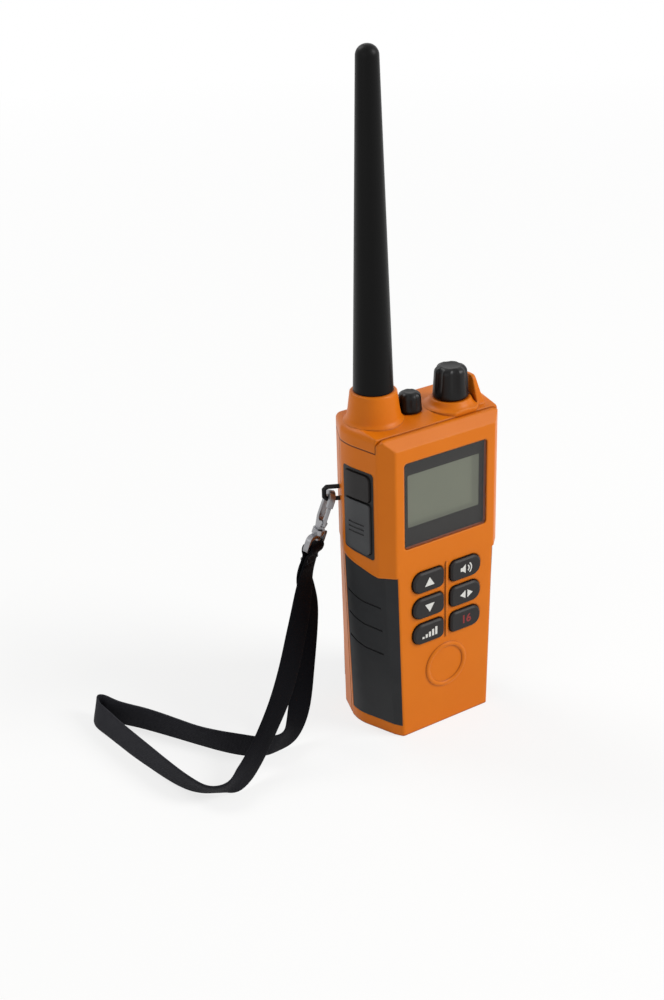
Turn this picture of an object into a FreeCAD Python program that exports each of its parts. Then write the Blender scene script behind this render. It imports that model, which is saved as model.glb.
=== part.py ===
import FreeCAD, Part
import math
import os

from FreeCAD import Vector

# Handheld marine VHF radio with its battery, belt clip and wrist strap.
# Millimetres. X to the right seen from the front, Y to the back, Z up.
# The origin is the middle of the base that the radio stands on.

# body
body_depth = 44.0  # front panel to the back of the battery
head_flat = 24.0  # half width of the flat front of the head
head_side = 32.5  # half width of the head
bevel = 5.2  # width and depth of the bevel round the front
waist_flat = 23.3  # half widths of the lower body at the waist
waist_side = 31.9
waist_corner = 3.7  # width and depth of the bevel at the waist
waist_bevel = 4.2
foot_flat = 21.5  # the same at the base
foot_side = 29.6
foot_corner = 2.1
foot_bevel = 3.4
edge_round = 1.5
bevel_round = 2.2
waist_z = 74.4  # underside of the head at the front
waist_rise = 4.8  # how much higher it is at the back
seam_z = 127.5  # joint between the body and the top cap
deck_z = 134.0
deck_drop = 1.2  # how much lower the deck's front edge is
deck_round = 3.0
crown_z = 132.5  # top of the front shell's lip
crown_bevel = 4.0
crown_round = 5.0
wall = 2.2
panel_t = 3.0  # front wall, which carries the window and the keys
skin = 0.3  # gap between fixed neighbours that meet at a seam
split_y = 5.2  # joint between front and rear shells
taper_y = 3.6  # where the sides start to slant inwards behind the joint
rail_back_x = 25.8  # outer back edge of the two rails beside the battery
rail_back_y = 15.5
bay_wall = 2.0
gasket_t = 0.6

# inside
board_y = 0.6
chassis_y = 2.3
chassis_t = 1.4
screw_r = 1.0
screw_head_r = 2.0
screw_head_t = 1.1
screw_x = 16.5
screw_zs = (18.0, 115.0)

# display
window_w = 39.6
window_h = 36.4
window_z = 104.2
window_t = 1.4
window_recess = 0.4
lcd_w = 34.4  # visible part of the screen
lcd_h = 24.5
lcd_rise = 3.0  # middle of the screen above the middle of the window
lcd_t = 3.2
lcd_margin = 2.2  # glass round the visible part
sight_margin = 1.1  # opening in the shell round the visible part

# keys
key_w = 15.0
key_h = 9.0
key_step_x = 18.4
key_step_z = 11.7
key_mid_z = 57.6
key_proud = 1.5
key_gap = 0.3
key_travel = 0.8
key_round = 4.1
key_inner_round = 2.4
rib_w = 0.9
rib_h = 0.5
mat_t = 1.0

# speaker bead on the lower front
ring_z = 27.3
ring_r = 10.1
ring_w = 1.9
ring_h = 0.7

# side switches
ptt_front_y = -15.0
ptt_back_y = 1.4
ptt_bottom_z = 82.0
ptt_top_z = 118.4
ptt_split_z = 105.6
ptt_border = 1.6
ptt_frame_t = 3.4
ptt_proud = 0.9
ptt_gap = 0.3
ptt_travel = 1.0

# grips
grip_t = 1.6
grip_foot_z = 5.0
grip_back_y = 3.0
groove_depth = 0.5
groove_w = 0.9

# antenna
antenna_x = -18.56
antenna_y = -0.24
antenna_top_z = 275.2
antenna_base_r = 7.84
antenna_tip_r = 4.2
boss_top_z = 146.0
boss_top_r = 9.2
boss_foot_r = 10.25
whip_r = 1.6
stud_r = 3.0
stud_len = 15.0
socket_r = 4.6
shaft_play = 0.05

# knobs
volume_x = 13.95
volume_y = -6.2
volume_z = 137.5
volume_h = 12.4
volume_r = 7.1
volume_top_r = 6.5
volume_boss_r = 8.4
volume_flutes = 6
flute_turn = 8.6
channel_x = -3.2
channel_y = -2.6
channel_z = 134.3
channel_h = 7.8
channel_r = 4.9
channel_flutes = 8
volume_shaft_r = 3.0
channel_shaft_r = 2.0
shaft_sink = 4.0  # how far a shaft goes up into its knob
seal_t = 1.4

# guard fin beside the large knob
fin_x0 = 22.0
fin_x1 = 25.6
fin_top_z = 144.5

# accessory socket on the right side
port_y = -6.0
port_z = 100.0
port_w = 13.0
port_h = 24.0
port_proud = 1.2

# battery
battery_w = 46.4
battery_gap = 0.35
battery_top_z = 124.2
battery_foot_z = 10.0
battery_wall = 1.8
comb_count = 5
comb_step = 8.6
comb_w = 3.2
comb_drop = 6.0
contact_count = 4
contact_step = 2.6
contact_z = 112.0
contact_half = 0.6
latch_z = 92.0  # pivot of the latch
latch_w = 41.0
latch_t = 4.0
latch_gap = 0.8
latch_tail = 2.6
prong_w = 6.0
prong_rise = 6.6
pin_r = 1.0
pin_play = 0.05

# belt clip
clip_w = 22.0
clip_t = 2.4
clip_gap = 5.4  # room for a belt
clip_pivot_z = 66.0
clip_foot_z = 15.0
clip_offset = 2.9  # pin axis behind the battery

# lanyard hardware, hung on the slanted left side of the rear shell
bar_z = 101.6
bar_off = 6.2  # middle of the upright bar off the housing
bar_r = 0.9
bar_half = 2.6  # half the distance between the bar's two legs
bar_sink = 1.8
hook_seat = 2.0  # middle of the hook inside the bar, on the lower leg
hook_lean = 19.0  # degrees that the strap holds the hook out
hook_turn = -80.0  # how far the hook and the eye below it are turned about their length
eye_turn = 55.0
hang_play = 0.7
hook_t = 2.4
hook_w = 7.4
hook_rod = 1.9
hook_len = 17.0
gate_rise = 7.6
gate_pin_r = 0.55
gate_t = 1.3
swivel_r = 1.1
swivel_play = 0.08
collar_r = 2.5
collar_h = 2.0
eye_w = 14.4
eye_h = 7.4
eye_t = 2.2
eye_bar = 1.8
eye_rod = 1.5
strap_w = 11.0
strap_t = 1.5
strap_end_len = 9.5
strap_lead = 5.0  # straight part of each side below the sewn end

# the strap's route by hand; the number after each point is how far its width has turned upright
strap_points = [
    ((-46.4, 15.6, 56.2), 0.05),
    ((-50.8, 12.6, 47.5), 0.15),
    ((-57.8, 8.2, 36.0), 0.3),
    ((-67.0, 3.4, 25.6), 0.55),
    ((-78.0, -2.8, 16.4), 0.8),
    ((-89.0, -9.6, 9.2), 0.95),
    ((-98.2, -13.4, 5.8), 1.0),
    ((-106.2, -12.6, 5.6), 1.0),
    ((-111.4, -6.2, 5.6), 1.0),
    ((-113.6, 4.0, 5.6), 1.0),
    ((-115.2, 18.0, 5.6), 1.0),
    ((-117.4, 33.0, 5.6), 1.0),
    ((-119.8, 47.0, 5.6), 1.0),
    ((-121.6, 57.6, 5.6), 1.0),
    ((-120.4, 65.0, 5.6), 1.0),
    ((-114.2, 68.2, 5.6), 1.0),
    ((-108.6, 63.8, 5.6), 1.0),
    ((-105.4, 54.0, 5.6), 1.0),
    ((-101.0, 41.6, 5.6), 1.0),
    ((-94.6, 28.6, 5.6), 1.0),
    ((-86.6, 16.4, 5.6), 1.0),
    ((-78.0, 7.0, 5.6), 1.0),
    ((-69.0, 2.6, 6.4), 0.95),
    ((-61.0, 3.2, 10.6), 0.75),
    ((-54.4, 6.4, 18.6), 0.5),
    ((-49.0, 10.0, 28.6), 0.3),
    ((-44.8, 13.4, 39.4), 0.15),
    ((-42.6, 16.4, 49.4), 0.05),
    ((-42.2, 18.2, 57.6), 0.0),
]

front_y = -body_depth / 2
back_y = body_depth / 2
battery_side = battery_w / 2
bay_side = battery_side + battery_gap
bay_floor_y = split_y + gasket_t + bay_wall
battery_y = bay_floor_y + battery_gap
panel_y = front_y + panel_t  # inside of the front wall


# ---- drawing helpers ----

def at_z(z):
    return lambda u, v: Vector(u, v, z)


def at_y(y):
    return lambda u, v: Vector(u, y, v)


def at_x(x):
    return lambda u, v: Vector(x, u, v)


def outline(corners, place):
    """Closed wire through (u, v, radius) corners, each rounded by its radius."""
    bends = []
    count = len(corners)
    for i, (u, v, radius) in enumerate(corners):
        here = Vector(u, v, 0)
        before = Vector(corners[i - 1][0], corners[i - 1][1], 0) - here
        after = Vector(corners[(i + 1) % count][0], corners[(i + 1) % count][1], 0) - here
        before.normalize()
        after.normalize()
        half = before.getAngle(after) / 2
        run = radius / math.tan(half)
        middle = before + after
        if radius > 0:
            middle.normalize()
        middle = here + middle * (radius / math.sin(half) - radius)
        bends.append((here + before * run, middle, here + after * run, radius))
    edges = []
    for i, (start, middle, end, radius) in enumerate(bends):
        points = [place(p.x, p.y) for p in (start, middle, end)]
        if radius > 0:
            edges.append(Part.Arc(points[0], points[1], points[2]).toShape())
        following = bends[(i + 1) % count][0]
        following = place(following.x, following.y)
        if points[2].distanceToPoint(following) > 1e-6:
            edges.append(Part.LineSegment(points[2], following).toShape())
    return Part.Wire(edges)


def prism(corners, place, along):
    return Part.Face(outline(corners, place)).extrude(along)


def box(x0, x1, y0, y1, z0, z1):
    return Part.makeBox(x1 - x0, y1 - y0, z1 - z0, Vector(x0, y0, z0))


def rectangle(u, v, width, height, radius=0.0):
    a, b = width / 2, height / 2
    return [(u - a, v - b, radius), (u + a, v - b, radius), (u + a, v + b, radius), (u - a, v + b, radius)]


def turned(profile, x, y):
    """Solid of revolution about the vertical through x, y from (radius, z, rounding) corners."""
    face = Part.Face(outline(profile, lambda u, v: Vector(x + u, y, v)))
    return face.revolve(Vector(x, y, 0), Vector(0, 0, 1), 360)


def rod(radius, start, end):
    along = end - start
    return Part.makeCylinder(radius, along.Length, start, along)


def mirrored(shape):
    return shape.mirror(Vector(0, 0, 0), Vector(1, 0, 0))


def both_sides(shape):
    return shape.fuse(mirrored(shape))


def grown(corners, distance):
    """The same outline with every wall moved outwards by distance (corners run anticlockwise)."""
    moved = []
    count = len(corners)
    for i, (u, v, radius) in enumerate(corners):
        before = Vector(u - corners[i - 1][0], v - corners[i - 1][1], 0)
        after = Vector(corners[(i + 1) % count][0] - u, corners[(i + 1) % count][1] - v, 0)
        before.normalize()
        after.normalize()
        out_a = Vector(before.y, -before.x, 0)
        out_b = Vector(after.y, -after.x, 0)
        shift = (out_a + out_b) * (distance / (1 + out_a.dot(out_b)))
        moved.append((u + shift.x, v + shift.y, max(radius + distance, 0.4) if radius > 0 else 0))
    return moved


def section(flat, corner_x, corner_y, side, side_round, back_x):
    """Outline of the body seen from above: flat front, bevels, bulging sides, rounded back rails."""
    right = [
        (flat, front_y, edge_round),
        (flat + corner_x, front_y + corner_y, bevel_round),
        (side, front_y + body_depth * 0.45, side_round),
        (side - 0.6, taper_y, 6.0),
        (back_x, rail_back_y, 0.8),
    ]
    left = [(-u, v, r) for u, v, r in reversed(right)]
    return right + left


def head_section():
    return section(head_flat, bevel, bevel, head_side, 24.0, rail_back_x)


def lower_section(z):
    share = z / waist_z

    def between(foot, waist):
        return foot + (waist - foot) * share

    return section(
        between(foot_flat, waist_flat),
        between(foot_corner, waist_corner),
        between(foot_bevel, waist_bevel),
        between(foot_side, waist_side),
        16.0,
        between(rail_back_x - 0.9, rail_back_x - 0.4),
    )


def head_block(z0, z1, grow=0.0):
    return prism(grown(head_section(), grow), at_z(z0), Vector(0, 0, z1 - z0))


def lower_block(z0, z1, grow=0.0):
    wires = [outline(grown(lower_section(z), grow), at_z(z)) for z in (z0, z1)]
    return Part.makeLoft(wires, True, True)


def lip_cutter():
    """Everything below the curved underside of the head."""
    z = waist_z
    top = outline(
        [
            (front_y - 8, z - 90, 0),
            (rail_back_y + 8, z - 90, 0),
            (rail_back_y + 8, z + waist_rise + 3.4, 0),
            (split_y, z + waist_rise, 30.0),
            (front_y + bevel + 2, z, 20.0),
            (front_y - 8, z, 0),
        ],
        at_x(-50),
    )
    return Part.Face(top).extrude(Vector(100, 0, 0))


# ---- shells ----

def crown_cutter():
    """Slopes the top of the front shell's lip back and rounds its two upper corners."""
    slope = prism(
        [
            (front_y - 1, crown_z - crown_bevel - 1, 0),
            (front_y + crown_bevel + 1, crown_z + 1, 0),
            (front_y - 1, crown_z + 1, 0),
        ],
        at_x(-50),
        Vector(100, 0, 0),
    )
    corner = head_flat + bevel
    arch = prism(
        [
            (-corner - 9, crown_z + 9, 0),
            (-corner - 9, seam_z - 6, 0),
            (-corner - 4, seam_z - 6, 0),
            (-corner + 0.6, crown_z, crown_round),
            (corner - 0.6, crown_z, crown_round),
            (corner + 4, seam_z - 6, 0),
            (corner + 9, seam_z - 6, 0),
            (corner + 9, crown_z + 9, 0),
        ],
        at_y(front_y - 1),
        Vector(0, bevel + 2, 0),
    )
    return slope.fuse(arch)


def cap_front():
    return front_y + bevel + 0.4


def body_outside():
    """The orange body up to the seam, with the lip in front of the top cap."""
    head = head_block(waist_z - 1, crown_z)
    head = head.cut(lip_cutter())
    cap_room = box(-50, 50, cap_front(), 50, seam_z, crown_z + 1)
    head = head.cut(cap_room).cut(crown_cutter())
    lower = lower_block(0, waist_z + waist_rise + 3)
    return head.fuse(lower)


def grip_zone():
    """The sides of the lower body that the rubber grips cover."""
    z0, z1 = grip_foot_z, waist_z + waist_rise + 4
    edges = []
    for z in (z0, z1):
        edges.append(lower_section(z)[0][0] + 0.1)
    zone = prism(
        [(edges[0], z0, 0), (50, z0, 0), (50, z1, 0), (edges[1], z1, 0)],
        at_y(front_y - 1),
        Vector(0, grip_back_y - front_y + 1, 0),
    )
    return both_sides(zone).common(lip_cutter())


def grip_blank():
    z1 = waist_z + waist_rise + 3
    return lower_block(0, z1).cut(lower_block(-1, z1 + 1, -grip_t)).common(grip_zone())


def grips():
    z1 = waist_z + waist_rise + 3
    pair = grip_blank()
    shallow = lower_block(0, z1).cut(lower_block(-1, z1 + 1, -groove_depth))
    for mid_z in (60.5, 50.0, 39.0):
        band = prism(groove_band(mid_z), at_x(-50), Vector(100, 0, 0))
        pair = pair.cut(band.common(shallow))
    left = pair.common(box(-60, 0, -60, 60, -1, 200))
    right = pair.common(box(0, 60, -60, 60, -1, 200))
    return left, right


def groove_band(z):
    """A shallow groove that sags towards the front corner."""
    y0, y1, y2 = front_y + bevel + 1.4, front_y + body_depth * 0.34, grip_back_y - 1.2
    under = [(y0, z - 1.6, 0), (y1, z - 1.2, 0), (y2, z + 1.6, 0)]
    return under + [(u, v + groove_w, r) for u, v, r in reversed(under)]


def key_places():
    """Middle of each key, from the top left, with the side that its round end faces."""
    places = []
    for row in (1, 0, -1):
        for side in (-1, 1):
            places.append((side * key_step_x / 2, key_mid_z + row * key_step_z, side))
    return places


def key_outline(x, z, side, grow=0.0):
    a = key_w / 2 + grow
    b = key_h / 2 + grow
    outer, inner = key_round + grow, key_inner_round + grow
    corners = [(-a * side, -b, inner), (a * side, -b, outer), (a * side, b, outer), (-a * side, b, inner)]
    if side < 0:
        corners.reverse()
    return [(x + u, z + v, r) for u, v, r in corners]


def ptt_outline():
    """Outline of the side switch panel seen from the left, its foot rising to the back."""
    return [
        (ptt_front_y, ptt_bottom_z - 0.8, 1.4),
        (ptt_back_y, ptt_bottom_z + 0.8, 1.4),
        (ptt_back_y, ptt_top_z, 1.4),
        (ptt_front_y, ptt_top_z, 1.4),
    ]


def side_cutter(corners):
    return prism(corners, at_x(-50), Vector(35, 0, 0))


def hollow_section(corners, side_wall):
    """The outline moved in by side_wall, but only by panel_t at the front."""
    inner = []
    for u, v, radius in grown(corners, -side_wall):
        if v < front_y + side_wall + 0.01:
            v = panel_y
        inner.append((u, v, min(radius, 1.0)))
    return inner


def body_cavity():
    upper = prism(hollow_section(head_section(), wall), at_z(waist_z + waist_rise), Vector(0, 0, 60))
    upper = upper.cut(box(-60, 60, front_y, cap_front(), seam_z - 2.0, 200))
    heights = (wall, waist_z + waist_rise + 2)
    lower = [outline(hollow_section(lower_section(z), wall + grip_t), at_z(z)) for z in heights]
    return upper.fuse(Part.makeLoft(lower, True, True))


def front_shell():
    shell = body_outside().cut(box(-60, 60, split_y, 60, -1, 200))
    shell = shell.cut(body_cavity())
    shell = shell.cut(grip_blank())
    window = prism(
        rectangle(0, window_z, window_w + 2 * skin, window_h + 2 * skin, 1.5),
        at_y(front_y - 1),
        Vector(0, 1 + window_recess + window_t, 0),
    )
    sight = prism(
        rectangle(0, window_z + lcd_rise, lcd_w + 2 * sight_margin, lcd_h + 2 * sight_margin),
        at_y(front_y - 1),
        Vector(0, panel_t + 2, 0),
    )
    shell = shell.cut(window).cut(sight)
    for x, z, side in key_places():
        hole = prism(key_outline(x, z, side, key_gap), at_y(front_y - 2), Vector(0, panel_t + 3, 0))
        shell = shell.cut(hole)
    shell = shell.fuse(panel_rib()).fuse(speaker_bead())
    shell = shell.cut(side_cutter(ptt_outline()))
    shell = shell.cut(port_well())
    return shell.removeSplitter()


def panel_rib():
    """Thin raised line between the two columns of keys."""
    top = key_mid_z + key_step_z + key_h / 2 + 1
    foot = key_mid_z - key_step_z - key_h / 2 - 1
    middle = (top + foot) / 2
    return prism(
        rectangle(0, middle, rib_w, top - foot, rib_w * 0.45),
        at_y(front_y - rib_h),
        Vector(0, rib_h + 0.5, 0),
    )


def speaker_bead():
    """Raised ring on the lower front, over the speaker."""
    centre = Vector(0, front_y - ring_h, ring_z)
    along = Vector(0, 1, 0)
    disc = Part.makeCylinder(ring_r, ring_h + 0.5, centre, along)
    disc = disc.cut(Part.makeCylinder(ring_r - ring_w, ring_h + 0.5, centre, along))
    return disc.makeChamfer(ring_h * 0.6, [e for e in disc.Edges if abs(e.CenterOfMass.y - centre.y) < 0.01])


def port_well():
    corners = rectangle(port_y, port_z, port_w + 2 * skin, port_h + 2 * skin, 3.0)
    return prism(corners, at_x(15), Vector(35, 0, 0))


def rear_shell():
    shell = body_outside().common(box(-60, 60, split_y + gasket_t, 60, -1, seam_z - skin))
    bay = box(-bay_side, bay_side, bay_floor_y, 60, base_lip_z(), battery_top_z + battery_gap)
    shell = shell.cut(bay)
    catch_z = battery_foot_z - 2.8
    catch = box(-bay_side - 0.5, bay_side + 0.5, bay_floor_y - 0.5, bay_floor_y + 2.6, catch_z, catch_z + 2.2)
    shell = shell.fuse(catch)
    for x, z in screw_places():
        shell = shell.cut(rod(screw_r + 0.1, Vector(x, 0, z), Vector(x, 40, z)))
        shell = shell.cut(rod(screw_head_r + 0.2, Vector(x, bay_floor_y - screw_head_t, z), Vector(x, 40, z)))
    shell = shell.cut(contact_pins(contact_half))
    return shell.cut(hung_bar(bar_staple())).removeSplitter()


def base_lip_z():
    return battery_foot_z - comb_drop - 0.5


def screw_places():
    return [(side * screw_x, z) for side in (-1, 1) for z in screw_zs]


def housing_gasket():
    """Flat seal in the joint between the two shells, a little below the surface."""
    z0, z1 = 0.6, waist_z + waist_rise + 3
    low = lower_block(z0, z1, -0.5)
    high = head_block(waist_z + waist_rise, seam_z - skin, -0.5)
    ring = low.fuse(high).common(box(-60, 60, split_y, split_y + gasket_t, -1, seam_z - skin))
    return ring.cut(body_cavity())


def case_screws():
    """Four screws from the battery bay into the chassis."""
    screws = []
    for x, z in screw_places():
        y = bay_floor_y - screw_head_t
        head = rod(screw_head_r, Vector(x, y, z), Vector(x, bay_floor_y - 0.1, z))
        half = screw_r * 0.7
        shank = box(x - half, x + half, chassis_y + 0.1, y + 0.1, z - half, z + half)
        screws.append(head.fuse(shank))
    return Part.makeCompound(screws)


# ---- top cap ----

def top_cap():
    front = cap_front() + skin
    cap = head_block(seam_z, deck_z).common(box(-60, 60, front, 60, 0, 200))
    rim = [e for e in cap.Edges if abs(e.CenterOfMass.z - deck_z) < 0.01 and e.CenterOfMass.y > front + 0.5]
    cap = cap.makeFillet(deck_round, rim)
    slope = [
        (front - 1, deck_z - deck_drop, 0),
        (front + 9, deck_z, 0),
        (front + 9, 150, 0),
        (front - 1, 150, 0),
    ]
    cap = cap.cut(prism(slope, at_x(-60), Vector(120, 0, 0)))
    hollow = head_block(seam_z - 1, deck_z - 3.0, -wall - 0.6).common(box(-60, 60, front + wall, 60, 0, 200))
    cap = cap.cut(hollow)
    mounds = antenna_boss().fuse(volume_boss()).common(box(-60, 60, front, 60, 0, 200))
    cap = cap.fuse(mounds).fuse(guard_fin())
    knob_foot = Vector(channel_x, channel_y, deck_z)
    cap = cap.cut(rod(channel_r + 0.5, knob_foot, knob_foot + Vector(0, 0, 26)))
    foot = Vector(antenna_x, antenna_y, seam_z)
    cap = cap.cut(rod(socket_r, foot, Vector(antenna_x, antenna_y, boss_top_z - 0.5)))
    cap = cap.cut(rod(stud_r + 0.3, foot, Vector(antenna_x, antenna_y, boss_top_z + 1)))
    for x, y, radius, top in (
        (volume_x, volume_y, volume_shaft_r, volume_z - 0.4),
        (channel_x, channel_y, channel_shaft_r, deck_z),
    ):
        cap = cap.cut(rod(radius + 0.3, Vector(x, y, seam_z), Vector(x, y, 160)))
        cap = cap.cut(rod(radius + 1.7, Vector(x, y, top - seal_t), Vector(x, y, 160)))
    for side in (-1, 1):
        x = side * prong_x()
        half = prong_w / 2 + 0.5
        notch = box(x - half, x + half, rail_back_y - 3.0, 60, seam_z - 1, seam_z + 4.6)
        cap = cap.cut(notch)
    return cap.removeSplitter()


def antenna_boss():
    """Tapered socket of the antenna, its foot flared into the deck."""
    return turned(
        [
            (0, deck_z - 2.5, 0),
            (boss_foot_r + 1.5, deck_z - 2.5, 0),
            (boss_foot_r + 1.5, deck_z + 0.1, 0),
            (boss_foot_r + 0.5, deck_z + 1.1, 2.0),
            (boss_foot_r - 0.1, deck_z + 4.0, 8.0),
            (boss_top_r, boss_top_z - 0.6, 0),
            (boss_top_r - 0.6, boss_top_z, 0),
            (0, boss_top_z, 0),
        ],
        antenna_x,
        antenna_y,
    )


def volume_boss():
    """Low mound under the large knob."""
    return turned(
        [
            (0, deck_z - 2.5, 0),
            (volume_boss_r + 2.6, deck_z - 2.5, 0),
            (volume_boss_r + 2.6, deck_z + 0.1, 0),
            (volume_boss_r + 0.6, deck_z + 0.9, 3.0),
            (volume_boss_r - 0.5, volume_z - 0.4, 0.5),
            (0, volume_z - 0.4, 0),
        ],
        volume_x,
        volume_y,
    )


def guard_fin():
    """Upright wedge that shields the large knob on its outer side."""
    y0, y1 = volume_y - 7.6, volume_y + 5.0
    fin = prism(
        [
            (y0, deck_z - 2.5, 0),
            (y1 + 1.5, deck_z - 2.5, 0),
            (y1 - 2.5, fin_top_z, 2.2),
            (y0 + 4.4, fin_top_z, 2.2),
        ],
        at_x(fin_x0),
        Vector(fin_x1 - fin_x0, 0, 0),
    )
    lean = prism(
        [
            (fin_x0 + 1.6, fin_top_z + 3, 0),
            (fin_x0 + 1.6, fin_top_z - 1.0, 1.2),
            (fin_x0 + 2.5, deck_z + 4.0, 6.0),
            (fin_x1 + 0.05, deck_z - 0.2, 0),
            (fin_x1 + 6, deck_z - 0.2, 0),
            (fin_x1 + 6, fin_top_z + 3, 0),
        ],
        at_y(y0 - 5),
        Vector(0, 30, 0),
    )
    knob_room = rod(volume_r + 1.1, Vector(volume_x, volume_y, deck_z), Vector(volume_x, volume_y, 160))
    return fin.cut(lean).cut(knob_room)


def prong_x():
    return latch_w / 2 - prong_w / 2


# ---- display ----

def display_window():
    y = front_y + window_recess
    plate = prism(rectangle(0, window_z, window_w, window_h, 1.3), at_y(y), Vector(0, window_t, 0))
    return plate


def lcd_module():
    y = panel_y + 0.1
    z = window_z + lcd_rise
    glass = prism(rectangle(0, z, lcd_w + 2 * lcd_margin, lcd_h + 2 * lcd_margin), at_y(y), Vector(0, 1.3, 0))
    light = box(-lcd_w / 2, lcd_w / 2, y + 1.3, y + lcd_t, z - lcd_h / 2 - 2.5, z + lcd_h / 2)
    return glass.fuse(light)


def lcd_frame():
    """Moulded frame that holds the screen to the front panel."""
    y = panel_y + 0.1
    z = window_z + lcd_rise
    room_w, room_h = lcd_w + 2 * lcd_margin + 0.2, lcd_h + 2 * lcd_margin + 0.6
    outer = prism(rectangle(0, z, room_w + 3.0, room_h + 3.0), at_y(y), Vector(0, lcd_t + 1.0, 0))
    room = prism(rectangle(0, z, room_w, room_h), at_y(y - 1), Vector(0, lcd_t + 1.1, 0))
    return outer.cut(room)


# ---- keypad ----

def key_cap(x, z, side):
    """Domed rubber key with a skirt behind the panel."""
    cap = prism(key_outline(x, z, side), at_y(front_y - key_proud), Vector(0, key_proud + panel_t + 0.35, 0))
    front_edges = [e for e in cap.Edges if abs(e.CenterOfMass.y - (front_y - key_proud)) < 0.01]
    cap = cap.makeChamfer(0.7, front_edges)
    skirt = prism(
        rectangle(x, z, key_w + 2 * key_gap + 0.9, key_h + 2 * key_gap + 0.9),
        at_y(panel_y + 0.1),
        Vector(0, 0.7, 0),
    )
    return cap.fuse(skirt).removeSplitter()


def keypad_y():
    """Front of the keypad mat, clear of the keys pressed right in."""
    return panel_y + 0.8 + key_travel + 0.25


def keypad_mat():
    height = 2 * key_step_z + key_h + 2.6
    width = key_step_x + key_w + 3
    mat = prism(rectangle(0, key_mid_z, width, height, 2.0), at_y(keypad_y()), Vector(0, mat_t, 0))
    return mat


# ---- side switches ----

def ptt_frame():
    """Rubber surround of the two side switches, let into the head's left side."""
    band = head_block(waist_z, seam_z).cut(head_block(waist_z - 1, seam_z + 1, -ptt_frame_t))
    frame = band.common(side_cutter(ptt_outline()))
    for corners in (ptt_button_outline(ptt_gap), side_button_outline(ptt_gap)):
        frame = frame.cut(side_cutter(corners))
    return frame


def ptt_button_outline(grow=0.0):
    return grown(
        [
            (ptt_front_y + ptt_border, ptt_bottom_z + ptt_border - 0.8, 2.0),
            (ptt_back_y - ptt_border, ptt_bottom_z + ptt_border + 0.8, 2.0),
            (ptt_back_y - ptt_border, ptt_split_z - 0.6, 1.2),
            (ptt_front_y + ptt_border, ptt_split_z - 0.6, 1.2),
        ],
        grow,
    )


def side_button_outline(grow=0.0):
    return grown(
        [
            (ptt_front_y + ptt_border, ptt_split_z + 0.6, 1.2),
            (ptt_back_y - ptt_border, ptt_split_z + 0.6, 1.2),
            (ptt_back_y - ptt_border, ptt_top_z - ptt_border, 2.0),
            (ptt_front_y + ptt_border, ptt_top_z - ptt_border, 2.0),
        ],
        grow,
    )


def side_switch(corners, ridges):
    """A push switch that follows the side of the head and stands a little proud of it."""
    inner = ptt_frame_t - ptt_travel - 0.2
    band = head_block(waist_z, seam_z, ptt_proud).cut(head_block(waist_z - 1, seam_z + 1, -inner))
    switch = band.common(side_cutter(corners))
    for z in ridges:
        bar = prism(rectangle((ptt_front_y + ptt_back_y) / 2, z, 8.0, 0.8), at_x(-50), Vector(35, 0, 0))
        switch = switch.cut(bar.cut(head_block(waist_z - 1, seam_z + 1, ptt_proud - 0.4)))
    return switch


def ptt_switches():
    """The two click switches behind the side buttons, on one small board."""
    x = -head_side + ptt_frame_t + ptt_travel + 1.8
    y = (ptt_front_y + ptt_back_y) / 2
    board = box(x, x + 1.0, y - 4, y + 5, ptt_bottom_z + 2, ptt_top_z - 2)
    for z in ((ptt_bottom_z + ptt_split_z) / 2, (ptt_top_z + ptt_split_z) / 2):
        board = board.fuse(box(x - 1.2, x, y - 2.2, y + 2.2, z - 2.2, z + 2.2))
        board = board.fuse(box(x - 1.5, x, y - 0.9, y + 0.9, z - 0.9, z + 0.9))
    return board


# ---- accessory port ----

def accessory_cover():
    """Rubber cover held over the side socket by its screw."""
    band = head_block(waist_z, seam_z, port_proud).cut(head_block(waist_z - 1, seam_z + 1, -1.4))
    cover = band.common(prism(rectangle(port_y, port_z, port_w, port_h, 2.8), at_x(15), Vector(35, 0, 0)))
    z = port_z + port_h / 2 - 4
    return cover.cut(rod(2.7, Vector(0, port_y, z), Vector(60, port_y, z)))


def cover_screw():
    z = port_z + port_h / 2 - 4
    x = head_side + port_proud - 0.6
    head = rod(2.5, Vector(x - 1.6, port_y, z), Vector(x, port_y, z))
    shank = rod(1.3, Vector(x - 5.0, port_y, z), Vector(x - 1.5, port_y, z))
    slot = box(x - 0.6, x + 1, port_y - 3, port_y + 3, z - 0.35, z + 0.35)
    return head.fuse(shank).cut(slot)


def accessory_socket():
    """Contact block under the cover, with its row of pads."""
    x1 = head_side - 4.3
    corners = rectangle(port_y, port_z - 2.6, port_w - 3.0, port_h - 8.4)
    block = prism(corners, at_x(x1 - 3.6), Vector(3.6, 0, 0))
    for i in range(5):
        z = port_z - 8.0 + i * 2.7
        block = block.cut(box(x1 - 0.7, x1 + 1, port_y - 1.6, port_y + 1.6, z - 0.7, z + 0.7))
    return block


# ---- inside ----

def main_board():
    z0, z1 = 8.0, seam_z - 7.5
    corners = [
        (-20, z0, 0),
        (20, z0, 0),
        (22.3, waist_z, 0),
        (24.6, waist_z + 6, 0),
        (24.6, z1, 0),
        (-22.0, z1, 0),
        (-22.0, waist_z, 0),
    ]
    return prism(corners, at_y(board_y), Vector(0, 1.6, 0))


def shield_can():
    depth = 4.6
    y = board_y - depth
    can = prism(rectangle(2, 98, 34, 38), at_y(y), Vector(0, depth, 0))
    hollow = prism(rectangle(2, 98, 33, 37), at_y(y + 0.5), Vector(0, depth, 0))
    return can.cut(hollow)


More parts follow.
